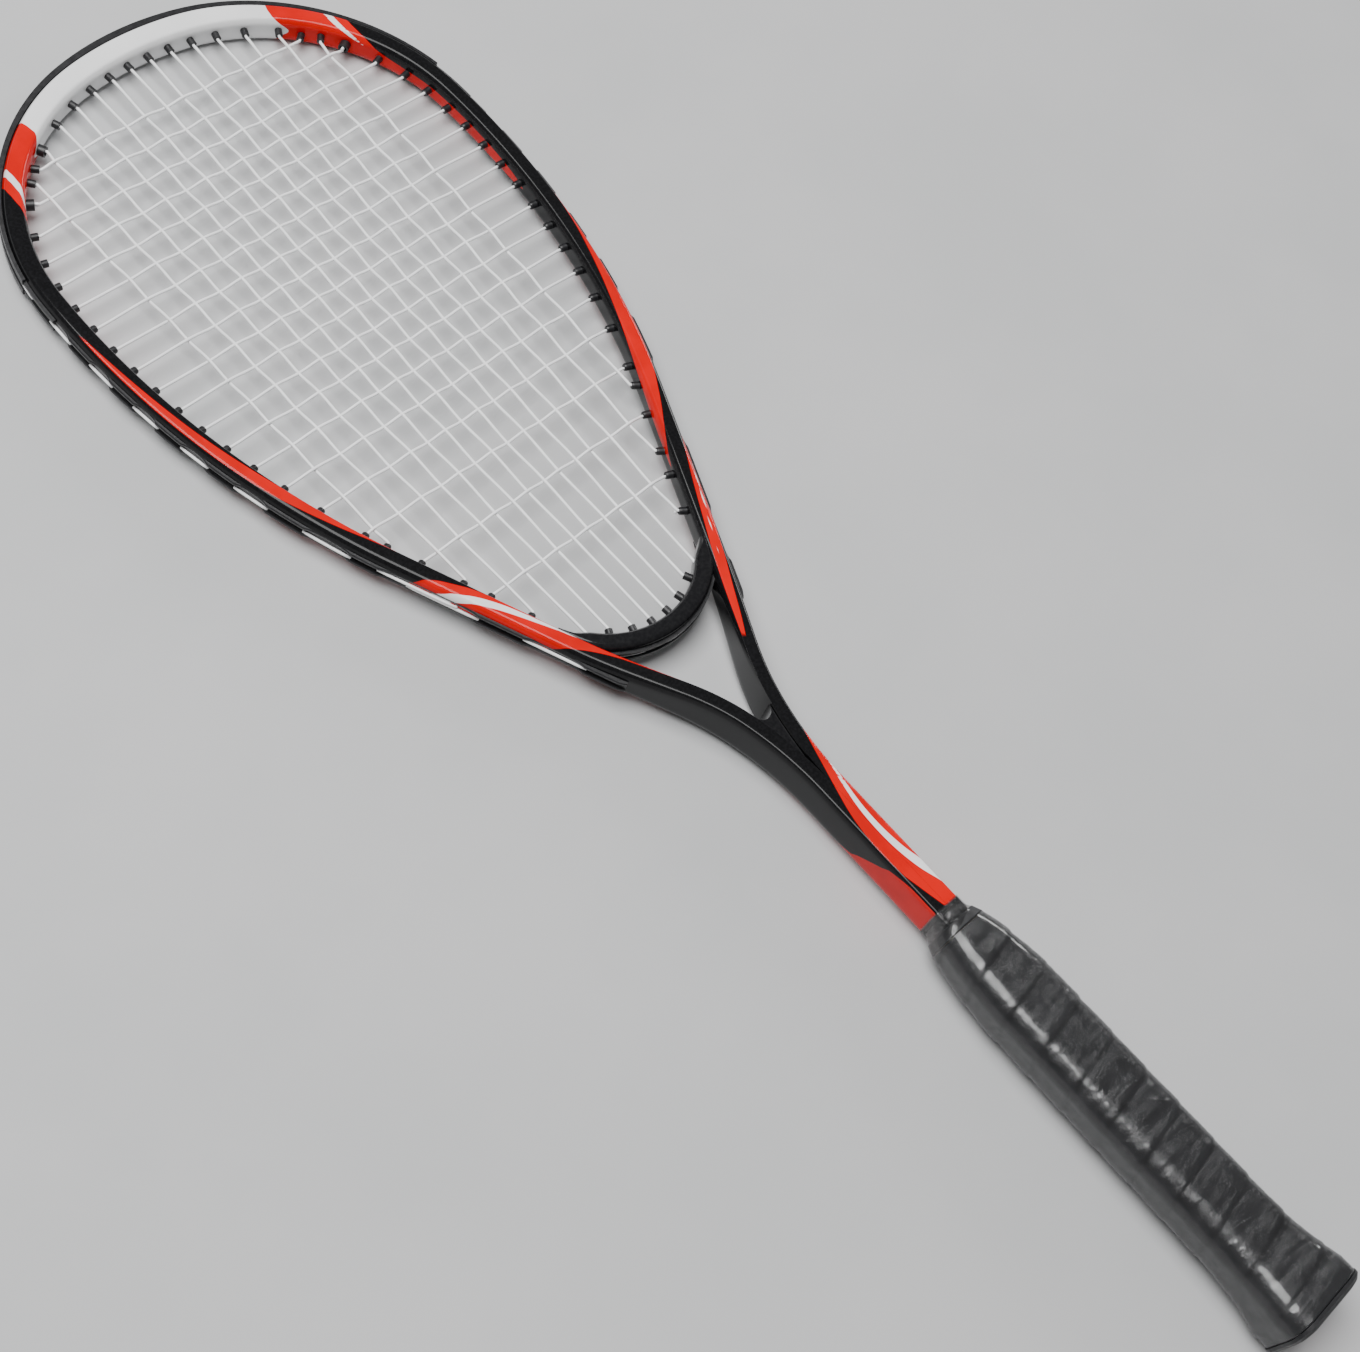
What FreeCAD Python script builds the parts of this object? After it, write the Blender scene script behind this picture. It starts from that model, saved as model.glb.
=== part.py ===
"""Squash racket, modelled as the pieces that it comes apart into.

+Y runs up the handle to the tip of the head, +X lies across the string bed, and +Z is the normal of the string bed.
The shapes are drawn from the centre of the butt face, on the handle's axis. PLACE then moves each of them, so that the
finished racket's origin is the middle of the underside of its bounding box. All sizes are in millimetres.
"""

import FreeCAD, Part
import math
import os

import Sketcher

from FreeCAD import Placement, Rotation, Vector

# Driving dimensions: alias, value, what it is.
SIZES = [
    ("racket_length", 686.0, "butt face to the outside of the bumper at the tip"),
    ("outer_wall", 5.2, "outer wall of the frame tube, outwards of the line of the head"),
    ("inner_wall", 3.2, "inner wall of the tube, inwards of that line"),
    ("beam_depth", 12.4, "frame tube through, along the normal of the string bed"),
    ("tip_wall", 6.8, "outer wall at the tip, where the tube is widest"),
    ("tip_inner", 4.5, "inner wall at the tip"),
    ("tube_wall", 1.0, "wall of the moulded tube"),
    ("tip_radius", 139.1, "centreline radius at the tip"),
    ("tip_angle", 11.5, "degrees of tip arc on each side"),
    ("crown_radius", 89.7, "centreline radius round the crown of the head"),
    ("crown_angle", 76.0, "degrees of crown arc"),
    ("side_radius", 362.6, "centreline radius down the side of the head"),
    ("side_angle", 27.0, "degrees of side arc"),
    ("neck_radius", 147.5, "radius that turns each throat arm into the shaft"),
    ("neck_end", 4.6, "the line of each arm from the axis, where it joins the shaft"),
    ("shaft_width", 12.4, "shaft across"),
    ("shaft_depth", 18.8, "shaft through"),
    ("shaft_start", 14.0, "lower end of the shaft inside the handle"),
    ("crotch_height", 288.0, "height of the fork where the arms leave the shaft"),
    ("bridge_edge", 345.0, "height of the bridge's string side on the axis"),
    ("bridge_radius", 39.4, "radius of the bridge's string side"),
    ("bridge_width", 7.6, "bridge across"),
    ("bridge_depth", 13.0, "bridge through"),
    ("groove_depth", 1.2, "groove round the outside of the head"),
    ("groove_width", 6.4, "groove along the normal"),
    ("strip_base", 1.0, "thickness of a grommet strip under the string"),
    ("rail_height", 1.4, "rails of the strip beside the string"),
    ("channel_width", 3.0, "gap between the two rails"),
    ("bumper_rise", 3.0, "bumper proud of the tube at the tip"),
    ("bumper_width", 9.0, "bumper along the normal"),
    ("seat_gap", 0.25, "room between the bumper's flange and the tube"),
    ("crown_step", 0.4, "flange of the bumper proud of its core"),
    ("bumper_reach", 155.0, "bumper from the tip along each side"),
    ("strip_reach", 416.0, "lower end of a side strip, along the side from the tip"),
    ("barrel_radius", 1.6, "outside of a grommet barrel"),
    ("bore_radius", 0.75, "hole through a grommet barrel"),
    ("barrel_reach", 3.2, "barrel proud of the tube's inner wall"),
    ("shared_barrel", 2.3, "outside of a barrel that a string's end shares"),
    ("shared_bore", 1.5, "hole through a shared barrel"),
    ("hole_clearance", 0.1, "radial gap between barrel and tube"),
    ("string_radius", 0.62, "half the gauge of the string"),
    ("cross_first", 648.3, "height of the topmost cross string"),
    ("cross_gap", 12.0, "spacing of the cross strings mid-bed"),
    ("main_gap", 9.8, "spacing of the main strings at the axis"),
    ("main_growth", 0.0368, "cubic growth of the main spacing outwards"),
    ("fan_height", 640.0, "height at which the main spacing is stated"),
    ("fan_apex", -1600.0, "height of the point that the mains fan from"),
    ("grip_width", 32.0, "wrapped handle across"),
    ("grip_depth", 26.6, "wrapped handle through"),
    ("grip_corner", 9.0, "corner radius of the wrapped handle"),
    ("grip_top", 186.0, "upper end of the wrapped handle"),
    ("neck_in", 36.0, "length over which the handle tapers at the top"),
    ("top_width", 24.8, "wrapped handle across, at its upper end"),
    ("top_depth", 24.4, "wrapped handle through, at its upper end"),
    ("flare", 3.0, "swell of the butt on each side"),
    ("lip_height", 3.2, "rim of the butt cap below the grip"),
    ("cap_height", 32.0, "butt cap along the handle"),
    ("cap_wall", 1.6, "wall of the butt cap"),
    ("grip_thickness", 2.0, "wrapped grip band"),
    ("underlay_thickness", 0.3, "adhesive tape under the band"),
    ("film_thickness", 0.25, "clear film over the band"),
    ("layer_gap", 0.03, "gap between wrapped layers"),
    ("tape_width", 4.0, "finishing tape at the top of the band"),
    ("collar_width", 5.5, "clear tape round the shaft above the handle"),
    ("collar_thickness", 0.3, "thickness of that tape"),
    ("badge_width", 21.0, "blank badge on the butt across"),
    ("badge_depth", 15.0, "the badge along the normal of the string bed"),
    ("badge_thickness", 0.8, "thickness of the badge"),
    ("staple_wire", 0.9, "wire of a staple"),
    ("staple_width", 9.0, "crown of a staple"),
    ("staple_leg", 4.0, "legs of a staple"),
    ("staple_height", 24.0, "height of the staples above the butt face"),
]

CROSS_COUNT = 19
MAIN_COUNT = 14

doc = FreeCAD.newDocument("squash_racket")
sheet = doc.addObject("Spreadsheet::Sheet", "sizes")
for row, (alias, value, note) in enumerate(SIZES, start=1):
    sheet.set(f"A{row}", str(value))
    sheet.setAlias(f"A{row}", alias)
    sheet.set(f"B{row}", note)
doc.recompute()


def size(alias):
    """The value of one cell of the sheet."""
    return float(sheet.get(alias))


OUTER_WALL = size("outer_wall")
GROOVE_FLOOR = OUTER_WALL - size("groove_depth")
CHANNEL_FLOOR = GROOVE_FLOOR + size("strip_base")
STRING_LIFT = size("string_radius") + 0.01


# ---------------------------------------------------------------- centreline of the head and throat
class HeadLine:
    """Centreline of the frame tube: tangent arcs from the tip, down one side and into the shaft.

    A station is the length along the line from the tip, positive on the +X side and negative on the other.
    """

    def __init__(self):
        tip, crown, side = (math.radians(size(a)) for a in ("tip_angle", "crown_angle", "side_angle"))
        taper = tip + crown + side - math.pi / 2
        point, heading = Vector(0, size("racket_length") - size("bumper_rise") - size("tip_wall"), 0), 0.0
        self.pieces = []
        for radius, angle in (
            (size("tip_radius"), tip),
            (size("crown_radius"), crown),
            (size("side_radius"), side),
        ):
            point, heading = self.add_arc(point, heading, radius, angle, 1)
        end_x = size("neck_end")
        neck = size("neck_radius")
        straight = (point.x - end_x - neck * (1 - math.cos(taper))) / math.sin(taper)
        point = self.add_straight(point, heading, straight)
        self.neck_station = sum(piece["length"] for piece in self.pieces)
        self.end, heading = self.add_arc(point, heading, neck, taper, -1)
        self.length = sum(piece["length"] for piece in self.pieces)

    def add_arc(self, point, heading, radius, angle, turn):
        """An arc that turns clockwise for turn 1. Heading is measured clockwise from +X."""
        centre = point - Vector(math.sin(heading), math.cos(heading), 0) * (turn * radius)
        self.pieces.append(
            {"centre": centre, "radius": radius, "turn": turn, "heading": heading, "length": radius * angle}
        )
        heading += turn * angle
        return centre + Vector(math.sin(heading), math.cos(heading), 0) * (turn * radius), heading

    def add_straight(self, point, heading, length):
        self.pieces.append({"point": point, "turn": 0, "heading": heading, "length": length})
        return point + Vector(math.cos(heading), -math.sin(heading), 0) * length

    def frame(self, station):
        """The point at a station and the outward direction there."""
        rest = abs(station)
        for piece in self.pieces:
            if rest <= piece["length"] or piece is self.pieces[-1]:
                break
            rest -= piece["length"]
        heading = piece["heading"] + (piece["turn"] * rest / piece["radius"] if piece["turn"] else 0)
        outward = Vector(math.sin(heading), math.cos(heading), 0)
        if piece["turn"]:
            point = piece["centre"] + outward * (piece["turn"] * piece["radius"])
        else:
            point = piece["point"] + Vector(math.cos(heading), -math.sin(heading), 0) * rest
        if station < 0:
            point, outward = Vector(-point.x, point.y, 0), Vector(-outward.x, outward.y, 0)
        return point, outward

    def at(self, station, offset=0.0, lift=0.0):
        """The point at a station, moved outwards by offset and up by lift."""
        point, outward = self.frame(station)
        return point + outward * offset + Vector(0, 0, lift)

    def edges(self, first, last, offset=0.0, lift=0.0):
        """Arcs and lines that follow the line from one station to another."""
        ends, total = [0.0], 0.0
        for piece in self.pieces[:-1]:
            total += piece["length"]
            ends += [total, -total]
        stations = [first] + sorted(s for s in ends if first + 0.01 < s < last - 0.01) + [last]
        found = []
        for low, high in zip(stations, stations[1:]):
            a, b, c = (self.at(s, offset, lift) for s in (low, (low + high) / 2, high))
            bend = (b - a).cross(c - b).Length / (c - a).Length
            found.append(Part.LineSegment(a, c).toShape() if bend < 1e-6 else Part.Arc(a, b, c).toShape())
        return found

    def meet(self, origin, direction, first, last, offset=0.0):
        """The station between first and last at which the line, moved by offset, meets a straight string."""
        side = Vector(-direction.y, direction.x, 0)
        marks = [first + (last - first) * k / 90 for k in range(91)]
        for low, high in zip(marks, marks[1:]):
            start = (self.at(low, offset) - origin).dot(side)
            if start * (self.at(high, offset) - origin).dot(side) > 0:
                continue
            for _ in range(40):
                middle = (low + high) / 2
                inside = start * (self.at(middle, offset) - origin).dot(side) > 0
                low, high = (middle, high) if inside else (low, middle)
            return low
        return None


line = HeadLine()


class BridgeLine:
    """The bridge: an arc across the throat that sags towards the shaft. Offsets grow from its string side."""

    def __init__(self):
        self.radius = size("bridge_radius")
        self.centre = Vector(0, size("bridge_edge") + self.radius, 0)

    def at(self, angle, offset=0.0, lift=0.0):
        out = Vector(math.sin(angle), -math.cos(angle), 0)
        return self.centre + out * (self.radius + offset) + Vector(0, 0, lift)

    def edge(self, first, last, offset=0.0, lift=0.0):
        points = [self.at(angle, offset, lift) for angle in (first, (first + last) / 2, last)]
        return Part.Arc(*points).toShape()

    def meet(self, origin, direction, offset=0.0):
        """The angle at which the arc, moved by offset, meets a string that runs down to it."""
        run = origin - self.centre
        along = run.dot(direction)
        reach = math.sqrt((self.radius + offset) ** 2 - run.Length**2 + along**2) - along
        point = run + direction * reach
        return math.atan2(point.x, -point.y)


bridge = BridgeLine()
BRIDGE_FLOOR = size("bridge_width") - size("groove_depth") + size("strip_base")
BRIDGE_STRING = BRIDGE_FLOOR + size("string_radius") + 0.03


# ---------------------------------------------------------------- shapes
def extrude_face(edges, low, high):
    """The flat face inside some edges, extruded along the normal of the string bed."""
    face = Part.Face(Part.Wire(Part.__sortEdges__(edges)))
    face.translate(Vector(0, 0, low))
    return face.extrude(Vector(0, 0, high - low))


def band(first, last, inner, outer, low, high):
    """A flat band that follows the head between two offsets from its centreline."""
    ends = [Part.LineSegment(line.at(s, inner), line.at(s, outer)).toShape() for s in (first, last)]
    return extrude_face(line.edges(first, last, inner) + line.edges(first, last, outer) + ends, low, high)


def bridge_band(reach, inner, outer, low, high):
    """The same for the bridge, as far as an angle on each side of the axis."""
    ends = [Part.LineSegment(bridge.at(a, inner), bridge.at(a, outer)).toShape() for a in (-reach, reach)]
    return extrude_face([bridge.edge(-reach, reach, inner), bridge.edge(-reach, reach, outer)] + ends, low, high)


def rounded_loop(points, radii):
    """A closed wire through points in one plane, with each corner rounded to its own radius."""
    edges, starts, stops = [], [], []
    count = len(points)
    for k in range(count):
        corner = points[k]
        u = (points[k - 1] - corner).normalize()
        v = (points[(k + 1) % count] - corner).normalize()
        half = u.getAngle(v) / 2
        reach = radii[k] / math.tan(half)
        starts.append(corner + u * reach)
        stops.append(corner + v * reach)
        middle = corner + (u + v).normalize() * (radii[k] / math.sin(half) - radii[k])
        edges.append(Part.Arc(starts[k], middle, stops[k]).toShape())
        if k:
            edges.insert(-1, Part.LineSegment(stops[k - 1], starts[k]).toShape())
    edges.append(Part.LineSegment(stops[-1], starts[0]).toShape())
    return Part.Wire(edges)


def ease(station, low, high):
    """0 below a station and 1 above another, with a smooth step between."""
    k = min(1.0, max(0.0, (abs(station) - low) / (high - low)))
    return k * k * (3 - 2 * k)


def inner_wall(station):
    """How far the tube's inner wall lies inwards of the line: more at the tip."""
    return size("tip_inner") + (size("inner_wall") - size("tip_inner")) * ease(station, 20, 170)


def outer_wall(station):
    """How far the tube's outer wall lies outwards of the line along the head: more at the tip."""
    return OUTER_WALL + (size("tip_wall") - OUTER_WALL) * (1 - ease(station, 20, 90))


def tube_section(station, wall):
    """The eight-sided section of the tube at a station, moved in by a wall thickness.

    The tube is widest at the tip. In the neck it narrows and deepens until each leg is one half of the shaft.
    """
    point, outward = line.frame(station)
    tip, slim = 1 - ease(station, 20, 90), ease(station, line.neck_station - 45, line.neck_station + 25)

    def mix(head, leg):
        return head + (leg - head) * slim

    outside = mix(outer_wall(station), size("shaft_width") / 2 - size("neck_end"))
    inside = mix(inner_wall(station), size("neck_end") + 0.3)
    half_depth = mix(size("beam_depth"), size("shaft_depth")) / 2
    front_out, front_in = outside - mix(1.5, 0.6), inside - mix(1.3, 0.1)
    shoulder = half_depth - mix(2.4, 2.2)
    if wall:
        drop = mix(size("groove_depth"), 0) + tip * (size("tip_wall") - OUTER_WALL)
        outside, front_out = outside - wall - drop, front_out - wall - drop * 0.6
        inside, front_in = inside - wall, front_in - wall * 0.8
        half_depth, shoulder = half_depth - wall, shoulder - wall * 0.6
    half = [(front_out, half_depth), (outside, shoulder), (outside, -shoulder), (front_out, -half_depth)]
    other = [(-front_in, -half_depth), (-inside, -shoulder), (-inside, shoulder), (-front_in, half_depth)]
    tight = mix(0.8, 0.15)
    radii = [0.8, 0.9, 0.9, 0.8, tight, mix(0.9, 0.05), mix(0.9, 0.05), tight]
    return rounded_loop([point + outward * a + Vector(0, 0, b) for a, b in half + other], radii)


def tube_body(wall):
    """The whole tube as a filled solid, moved in by a wall thickness: one trimmed side and its mirror."""
    count = 27
    sections = [tube_section(line.length * k / count, wall) for k in range(count + 1)]
    leg = Part.Face(sections[-1]).extrude(Vector(0, size("shaft_start") - line.end.y, 0))
    side = Part.makeLoft(sections, True, False).fuse(leg)
    side = side.common(Part.makeBox(200, 800, 60, Vector(0, 0, -30)))
    return side.fuse(side.mirror(Vector(0, 0, 0), Vector(1, 0, 0)))


def rod(start, stop, radius):
    run = stop - start
    return Part.makeCylinder(radius, run.Length, start, run)


def pipe(edges, radius):
    """A round string along some edges, with round ends."""
    wire = Part.Wire(edges)
    first, last = edges[0], edges[-1]
    start, stop = wire.OrderedVertexes[0].Point, wire.OrderedVertexes[-1].Point
    tangent = first.tangentAt(first.FirstParameter)
    ring = Part.Wire(Part.makeCircle(radius, start, tangent))
    tube = wire.makePipeShell([ring], True, True)
    return tube.multiFuse([Part.makeSphere(radius, start), Part.makeSphere(radius, stop)])


# ---------------------------------------------------------------- where the strings run
class Hole:
    """One string hole. It starts where the string meets the inner wall and runs nearly square to the wall."""

    lean = 0.15

    def __init__(self, origin, direction, lift, first=None, last=None):
        self.lift, self.first, self.last = lift, first, last
        self.on_bridge = first is None
        self.inner = 0.0 if self.on_bridge else -size("inner_wall")
        self.floor = BRIDGE_FLOOR if self.on_bridge else CHANNEL_FLOOR
        self.groove = self.floor - size("strip_base")
        self.wrap = self.floor + size("string_radius") + 0.03
        self.shared = False
        if not self.on_bridge:
            self.inner = -inner_wall(self.meet(origin, direction, self.inner))
        station = self.meet(origin, direction, self.inner)
        self.mouth = self.track(station, self.inner)
        outward = (self.track(station, self.inner + 1) - self.mouth).normalize()
        self.direction = (direction * self.lean + outward * (1 - self.lean)).normalize()
        self.bed = direction

    def track(self, station, offset):
        return bridge.at(station, offset) if self.on_bridge else line.at(station, offset)

    def meet(self, origin, direction, offset):
        if self.on_bridge:
            return bridge.meet(origin, direction, offset)
        return line.meet(origin, direction, self.first, self.last, offset)

    def station(self, offset):
        """Where the hole's axis crosses an offset from the head's line, or from the bridge's string side."""
        return self.meet(self.mouth, self.direction, offset)

    def axis_point(self, offset, lift):
        return self.track(self.station(offset), offset) + Vector(0, 0, lift)

    def drill(self, radius, start, stop):
        """A cylinder on the hole's axis, from a length inside the bed to an offset beyond the wall."""
        lift = 0.0 if self.shared else self.lift
        inside = self.mouth + Vector(0, 0, lift) - self.direction * start
        return rod(inside, self.axis_point(stop, lift), radius)

    def bend(self):
        """The point at which the string leaves the barrel and turns into the bed."""
        return self.mouth - self.direction * (size("barrel_reach") + 0.6) + Vector(0, 0, self.lift)

    def string_end(self):
        """The string from its bend out to the floor of the channel."""
        radius = size("string_radius")
        inside = rod(self.bend(), self.axis_point(self.floor, self.lift), radius)
        return inside.fuse(Part.makeSphere(radius + 0.02, self.bend()))


def cross_heights():
    """Heights of the cross strings from the tip down: even mid-bed, wider at the tip and at the throat."""
    heights = [size("cross_first")]
    for k in range(1, CROSS_COUNT):
        gap = size("cross_gap") + 2.2 * max(0.0, (4 - k) / 3) + 14.5 * max(0.0, (k - 11) / 7) ** 2.5
        heights.append(heights[-1] - gap)
    return heights


def main_lines():
    """A point and a direction, towards the tip, for each main string from -X to +X."""
    found = []
    for k in range(MAIN_COUNT):
        step = k - (MAIN_COUNT - 1) / 2
        x = size("main_gap") * step + size("main_growth") * step**3
        point = Vector(x, size("fan_height"), 0)
        found.append((point, (point - Vector(0, size("fan_apex"), 0)).normalize()))
    return found


def string_holes():
    """Holes of the mains at the tip and at the throat, then of the crosses on the -X and +X sides."""
    tip, throat, left, right = [], [], [], []
    reach = line.neck_station
    for point, up in main_lines():
        side = 1 if point.x > 0 else -1
        tip.append(Hole(point, up, STRING_LIFT, 0.0, side * reach * 0.35))
        foot = line.meet(point, up * -1, side * reach * 0.4, side * reach, -size("inner_wall"))
        on_arm = foot is not None and abs(line.at(foot).x) > bridge.radius * 0.85
        span = (side * reach * 0.4, side * reach) if on_arm else (None, None)
        throat.append(Hole(point, up * -1, STRING_LIFT, *span))
    for height in cross_heights():
        for side, found in ((-1, left), (1, right)):
            origin = Vector(0, height, 0)
            found.append(Hole(origin, Vector(side, 0, 0), -STRING_LIFT, side * 20.0, side * reach * 0.9))
    return tip, throat, left, right


TIP, THROAT, LEFT, RIGHT = string_holes()
EVERY_HOLE = TIP + THROAT + LEFT + RIGHT

# Each free end of a string turns into the hole of a neighbour and is knotted inside it.
TIE_OFFS = [(TIP[0], LEFT[1]), (TIP[-1], RIGHT[1]), (LEFT[0], TIP[1]), (RIGHT[-1], THROAT[-3])]
for _, shared in TIE_OFFS:
    shared.shared = True


def hole_cutters():
    """Cylinders that drill every string hole through the wall of the frame, or of the bridge."""
    extra = size("hole_clearance")
    cutters = []
    for hole in EVERY_HOLE:
        radius = size("shared_barrel") if hole.shared else size("barrel_radius")
        cutters.append(hole.drill(radius + extra, 2.0, hole.floor + 1.0))
    return cutters


def barrels(holes, bore):
    """The barrels of some holes, or the bores through them and through the strip."""
    shapes = []
    for hole in holes:
        if bore:
            radius = size("shared_bore") if hole.shared else size("bore_radius")
            shapes.append(hole.drill(radius, size("barrel_reach") + 1.0, hole.floor + 0.5))
        else:
            radius = size("shared_barrel") if hole.shared else size("barrel_radius")
            shapes.append(hole.drill(radius, size("barrel_reach"), hole.groove + 0.3))
    return shapes


def turn(first, second, lift):
    """A string round the outside of the frame, from one hole to the next."""
    low, high = first.station(first.wrap), second.station(second.wrap)
    if low > high:
        low, high = high, low
    if first.on_bridge:
        edges = [bridge.edge(low, high, first.wrap, lift)]
    else:
        edges = line.edges(low, high, first.wrap, lift)
    return pipe(edges, size("string_radius"))


# ---------------------------------------------------------------- document objects
LIFT = size("grip_depth") / 2 + size("flare")
PLACE = Placement(Vector(0, -size("racket_length") / 2, LIFT), Rotation())
PARTS = []


def finish(obj, label):
    """Name a sub-part and put it in the racket's frame."""
    obj.Label = label
    obj.Placement = PLACE
    PARTS.append(obj)
    return obj


def add_shape(label, shape):
    """A sub-part whose shape follows a rule that sketches and primitives do not cover."""
    obj = doc.addObject("Part::Feature", label)
    obj.Shape = shape
    return finish(obj, label)


def rounded_sketch(name, height, half_width, half_depth, corner):
    """A rounded rectangle round the handle's axis, at a height. The four sizes are expressions on the sheet."""
    sketch = doc.addObject("Sketcher::SketchObject", name)
    sketch.Placement = Placement(Vector(0, 0, 0), Rotation(Vector(1, 0, 0), 90))
    w, d, r = 10.0, 8.0, 3.0
    walls = [((-w + r, -d), (w - r, -d)), ((w, -d + r), (w, d - r))]
    walls += [((w - r, d), (-w + r, d)), ((-w, d - r), (-w, -d + r))]
    for start, stop in walls:
        sketch.addGeometry(Part.LineSegment(Vector(*start, 0), Vector(*stop, 0)), False)
    quarter = math.pi / 2
    for k, (sx, sz) in enumerate(((1, -1), (1, 1), (-1, 1), (-1, -1))):
        circle = Part.Circle(Vector(sx * (w - r), sz * (d - r), 0), Vector(0, 0, 1), r)
        sketch.addGeometry(Part.ArcOfCircle(circle, (k - 1) * quarter, k * quarter), False)
    rule = Sketcher.Constraint
    for k in range(4):
        sketch.addConstraint(rule("Tangent", k, 2, 4 + k, 1))
        sketch.addConstraint(rule("Tangent", 4 + k, 2, (k + 1) % 4, 1))
        sketch.addConstraint(rule("Vertical" if k % 2 else "Horizontal", k))
    for k in (5, 6, 7):
        sketch.addConstraint(rule("Equal", 4, k))
    sketch.addConstraint(rule("Symmetric", 4, 3, 6, 3, -1, 1))
    for label, constraint, value in (
        ("half_width", rule("DistanceX", -1, 1, 1, 1, w), half_width),
        ("half_depth", rule("DistanceY", -1, 1, 2, 1, d), half_depth),
        ("corner", rule("Radius", 4, r), corner),
    ):
        index = sketch.addConstraint(constraint)
        sketch.renameConstraint(index, label)
        sketch.setExpression(f"Constraints.{label}", value)
    sketch.setExpression("Placement.Base.y", height)
    return sketch


def stack(name, rows):
    """A solid that runs through rounded rectangles, each a height, half width, half depth and corner radius."""
    loft = doc.addObject("Part::Loft", name)
    loft.Sections = [rounded_sketch(f"{name}_{k}", *row) for k, row in enumerate(rows)]
    loft.Solid = True
    loft.Ruled = True
    return loft


def handle_rows(depth, low, high, flared=True):
    """Rows of the handle's outline, moved in by an expression, between two heights."""
    mid = f"sizes.grip_width / 2 - ({depth})", f"sizes.grip_depth / 2 - ({depth})"
    top = f"sizes.top_width / 2 - ({depth})", f"sizes.top_depth / 2 - ({depth})"
    corner = f"sizes.grip_corner - ({depth})"
    rows = [(low, *mid, corner)]
    if flared:
        flare = [(low, 1.0), ("sizes.lip_height + 6", 1.0)]
        flare += [("sizes.lip_height + 16", 0.45), ("sizes.cap_height + 8", 0.0)]
        rows = [(height, *(f"{side} + {swell} * sizes.flare" for side in mid), corner) for height, swell in flare]
    rows.append(("sizes.grip_top - sizes.neck_in", *mid, corner))
    rows.append((high, *top, corner))
    return rows


def boolean(kind, name, base, tool):
    """A Part::Cut, Part::Fuse or Part::Common of two document objects."""
    obj = doc.addObject(kind, name)
    obj.Base = base
    obj.Tool = tool
    return obj


def tool_shape(name, shape):
    """A shape that is only used to cut or join."""
    obj = doc.addObject("Part::Feature", name)
    obj.Shape = shape
    return obj


# ---------------------------------------------------------------- the frame
outer_tube = tube_body(0)
inner_tube = tube_body(size("tube_wall"))
half_groove = size("groove_width") / 2
strip_reach = size("strip_reach")
groove = band(-strip_reach, strip_reach, GROOVE_FLOOR, OUTER_WALL + 6, -half_groove, half_groove)
cutters = hole_cutters()
frame_tube = outer_tube.cut(inner_tube).cut(groove).cut(Part.makeCompound(cutters))
add_shape("frame_tube", frame_tube)

bridge_half = size("bridge_depth") / 2
bridge_width, wall, groove_depth = size("bridge_width"), size("tube_wall"), size("groove_depth")
bridge_reach = math.radians(80)
bridge_solid = bridge_band(bridge_reach, 0, bridge_width, -bridge_half, bridge_half)
long_edges = [e for e in bridge_solid.Edges if e.Length > 40]
bridge_solid = bridge_solid.makeFillet(2.2, long_edges)
bridge_floor = bridge_width - groove_depth
core_half = bridge_half - 1.6
bridge_core = bridge_band(bridge_reach, wall, bridge_floor - wall, -core_half, core_half)
bridge_groove = bridge_band(math.radians(42), bridge_floor, bridge_width + 2, -half_groove, half_groove)
bridge_shape = bridge_solid.cut([bridge_core, bridge_groove, outer_tube, Part.makeCompound(cutters)])
add_shape("throat_bridge", max(bridge_shape.Solids, key=lambda s: s.Volume))

# The insert between the arms, with a hollow top that leaves a rounded fork.
crotch = size("crotch_height")
insert_depth = size("shaft_depth") - 3.0
insert = Part.makeBox(16, crotch + 4 - line.end.y, insert_depth, Vector(-8, line.end.y, -insert_depth / 2))
fork_round = Part.makeCylinder(4.0, 30, Vector(0, crotch + 4.0, -15), Vector(0, 0, 1))
insert = insert.cut([fork_round, outer_tube])
add_shape("throat_insert", max(insert.Solids, key=lambda s: s.Volume if abs(s.CenterOfMass.x) < 1 else 0))

# ---------------------------------------------------------------- bumper and grommet strips
base, rail, channel = size("strip_base"), size("rail_height"), size("channel_width") / 2
strip_half = half_groove - 0.1


def swollen_band(first, last, inner, crown, low, high):
    """A band between two rules of the station, each of which gives an offset from the head's line."""
    count = 24
    stations = [first + (last - first) * k / count for k in range(count + 1)]
    seat = [line.at(station, inner(station)) for station in stations]
    top = [line.at(station, crown(station)) for station in stations]
    edges = [Part.LineSegment(seat[k], top[k]).toShape() for k in (0, -1)]
    for points in (seat, top):
        curve = Part.BSplineCurve()
        curve.interpolate(points)
        edges.append(curve.toShape())
    return extrude_face(edges, low, high)


def bumper_crown(station):
    """The bumper's crown: proud of the tube at the tip and level with the rails at its ends."""
    thin_end = CHANNEL_FLOOR + rail
    swell = 0.5 + 0.5 * math.cos(math.pi * station / bumper_end)
    return thin_end + (proud - crown_step - thin_end) * swell**2


def strip_with_barrels(body, holes):
    return body.multiFuse(barrels(holes, False)).cut(Part.makeCompound(barrels(holes, True)))


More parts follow.
